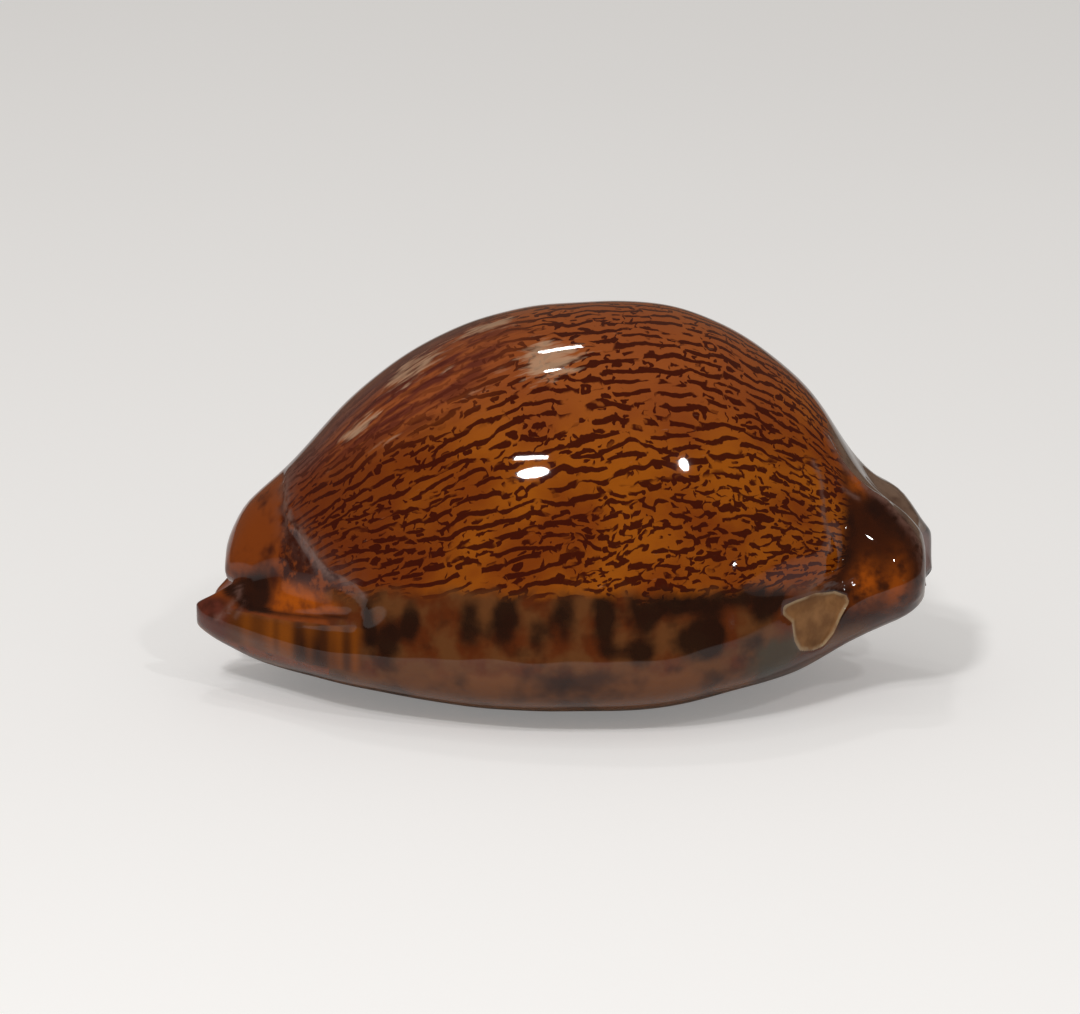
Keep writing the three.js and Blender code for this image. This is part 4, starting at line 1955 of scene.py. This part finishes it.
@dataclass
class Studio:
    """A pale floor, soft lamps, an evenly lit room and the camera.

    Attributes:
        eye_distance: From the camera to what it looks at, in metres.
        elevation: The camera's height over the horizon, in degrees.
        target: What the camera looks at, in metres.
        frame_width: Width of the picture at the target, in metres.
        sensor: Width of the camera's sensor, in millimetres.
        floor_radius: Radius of the floor, in metres.
        floor_corners: How many corners its outline has.
        floor_colour: Its colour.
        floor_lift: How much light of its own it shows to the camera.
        floor_stain: How much darker its faint patches are, as a factor.
        floor_roughness: Its roughness.
        probe: Steps along X and round the section from which the mirrored spot's slope is taken.
        lamps: The lamps.
        fill: The light that falls on dull surfaces.
        mirrored: What the gloss mirrors of the room.
        backdrop: What the camera sees of it.
    """

    eye_distance: float = 0.45
    elevation: float = 15.0
    target: tuple[float, float, float] = (-0.0023, 0.0, 0.0154)
    frame_width: float = 0.0954
    sensor: float = 36.0
    floor_radius: float = 1.2
    floor_corners: int = 64
    floor_colour: Colour = (0.82, 0.81, 0.80)
    floor_lift: float = 0.26
    floor_stain: float = 0.985
    floor_roughness: float = 0.9
    probe: Span = (0.3, 1.0)
    lamps: tuple[Lamp, ...] = (
        Lamp(-3.4, 133.6, 0.5, 0.06, 0.04, 0.73, LampShape.DISC),
        Lamp(-3.75, 137.5, 0.5, 0.066, 0.014, 0.25),
        Lamp(9.3, 135.6, 0.5, 0.018, 0.036, 0.26, LampShape.DISC),
        Lamp(-1.5, 162, 0.6, 0.06, 0.022, 0.2),
        Lamp(-1.85, 156.2, 0.6, 0.018, 0.02, 0.07, LampShape.DISC),
        Lamp(14.0, 113.2, 0.5, 0.014, 0.007, 0.035, LampShape.DISC),
    )
    fill: RoomLight = RoomLight((1.0, 0.97, 0.93), 0.4)
    mirrored: RoomLight = RoomLight((1.0, 0.74, 0.56), 0.14)
    backdrop: RoomLight = RoomLight((1.0, 1.0, 1.0), 0.85)

    def eye(self) -> Vector:
        """Give the camera's place."""
        rise = math.radians(self.elevation)
        return Vector(self.target) + self.eye_distance * Vector((0, -math.cos(rise), math.sin(rise)))

    def camera(self) -> None:
        """Add the camera."""
        lens = bpy.data.cameras.new("camera")
        lens.sensor_width = self.sensor
        lens.lens = self.sensor * self.eye_distance / self.frame_width
        camera = bpy.data.objects.new("camera", lens)
        camera.location = self.eye()
        camera.rotation_euler = (math.radians(90 - self.elevation), 0, 0)
        bpy.context.scene.collection.objects.link(camera)
        bpy.context.scene.camera = camera

    def floor(self) -> None:
        """Add the floor, a flat pale sheet that isn't part of the object."""
        turns = np.linspace(0, 2 * np.pi, self.floor_corners + 1)[:-1]
        disc = self.floor_radius * np.stack([np.cos(turns), np.sin(turns), 0 * turns], -1)
        mesh = bpy.data.meshes.new("floor")
        mesh.from_pydata(disc.tolist(), [], [tuple(range(len(disc)))])
        g = Graph(bpy.data.materials.new("floor"))
        spot = g.node("ShaderNodeTexCoord").outputs["Object"]
        stained = tuple(self.floor_stain * value for value in self.floor_colour)
        seen = g.node("ShaderNodeLightPath").outputs["Is Camera Ray"]
        shader = g.node("ShaderNodeBsdfPrincipled", {
            "Base Color": g.blend(g.ease(g.cloud(spot, 6.0, 2.0, 1.0), 0.3, 0.7), self.floor_colour, stained),
            "Roughness": self.floor_roughness,
            "Emission Color": self.floor_colour,
            "Emission Strength": g.times(seen, self.floor_lift),
        })
        g.node("ShaderNodeOutputMaterial", {"Surface": shader.outputs[0]})
        mesh.materials.append(g.owner)
        sheet = bpy.data.objects.new("floor", mesh)
        bpy.context.scene.collection.objects.link(sheet)

    def hang(self, lamp: Lamp, form: ShellForm, number: int) -> None:
        """Hang a lamp where the shell mirrors it at its spot.

        Args:
            lamp: The lamp.
            form: The shell's form.
            number: The lamp's number.
        """
        step, turn = self.probe
        x, angle = lamp.x + np.array((0, step, 0)), lamp.angle + np.array((0, 0, turn))
        spot, ahead, aside = form.surface(x, angle) * MILLIMETRE
        normal = Vector(np.cross(ahead - spot, aside - spot)).normalized()
        sight = (Vector(spot) - self.eye()).normalized()
        normal = -normal if normal.dot(sight) > 0 else normal
        way = sight - 2 * sight.dot(normal) * normal
        light = bpy.data.lights.new(f"lamp_{number}", "AREA")
        light.shape = lamp.shape.value
        light.size, light.size_y, light.energy = lamp.wide, lamp.tall, lamp.power
        hung = bpy.data.objects.new(f"lamp_{number}", light)
        hung.location = Vector(spot) + lamp.distance * way
        hung.rotation_euler = (-way).to_track_quat("-Z", "Y").to_euler()
        bpy.context.scene.collection.objects.link(hung)

    def air(self) -> None:
        """Fill the room with soft light that the gloss hardly mirrors."""
        g = Graph(bpy.data.worlds.new("room"))
        rays = g.node("ShaderNodeLightPath")
        fill, mirrored, seen = (
            g.node("ShaderNodeBackground", {"Color": light.colour, "Strength": light.strength}).outputs[0]
            for light in (self.fill, self.mirrored, self.backdrop)
        )
        lit = g.node("ShaderNodeMixShader", {0: rays.outputs["Is Glossy Ray"], 1: fill, 2: mirrored})
        view = g.node("ShaderNodeMixShader", {0: rays.outputs["Is Camera Ray"], 1: lit.outputs[0], 2: seen})
        g.node("ShaderNodeOutputWorld", {"Surface": view.outputs[0]})
        bpy.context.scene.world = g.owner

    def build(self, form: ShellForm) -> None:
        """Set up the floor, the lamps, the room's light and the camera.

        Args:
            form: The form of the shell that mirrors the lamps.
        """
        self.floor()
        for number, lamp in enumerate(self.lamps, 1):
            self.hang(lamp, form, number)
        self.air()
        self.camera()
        bpy.context.scene.view_settings.view_transform = "Standard"


def main() -> None:
    """Build the shell around the CAD frame, then the studio."""
    logging.basicConfig(level=logging.INFO, format="%(name)s: %(message)s")
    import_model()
    shell = CowrieShell()
    piece = shell.build()
    shell.dress(piece)
    bpy.context.scene.collection.objects.link(piece)
    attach(piece, "root")
    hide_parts("shell")
    log.info("shell_finished: %d points, %d faces", len(piece.data.vertices), len(piece.data.polygons))
    studio = Studio()
    studio.build(shell.form)
    log.info("studio: %d lamps", len(studio.lamps))


if __name__ == "__main__":
    main()
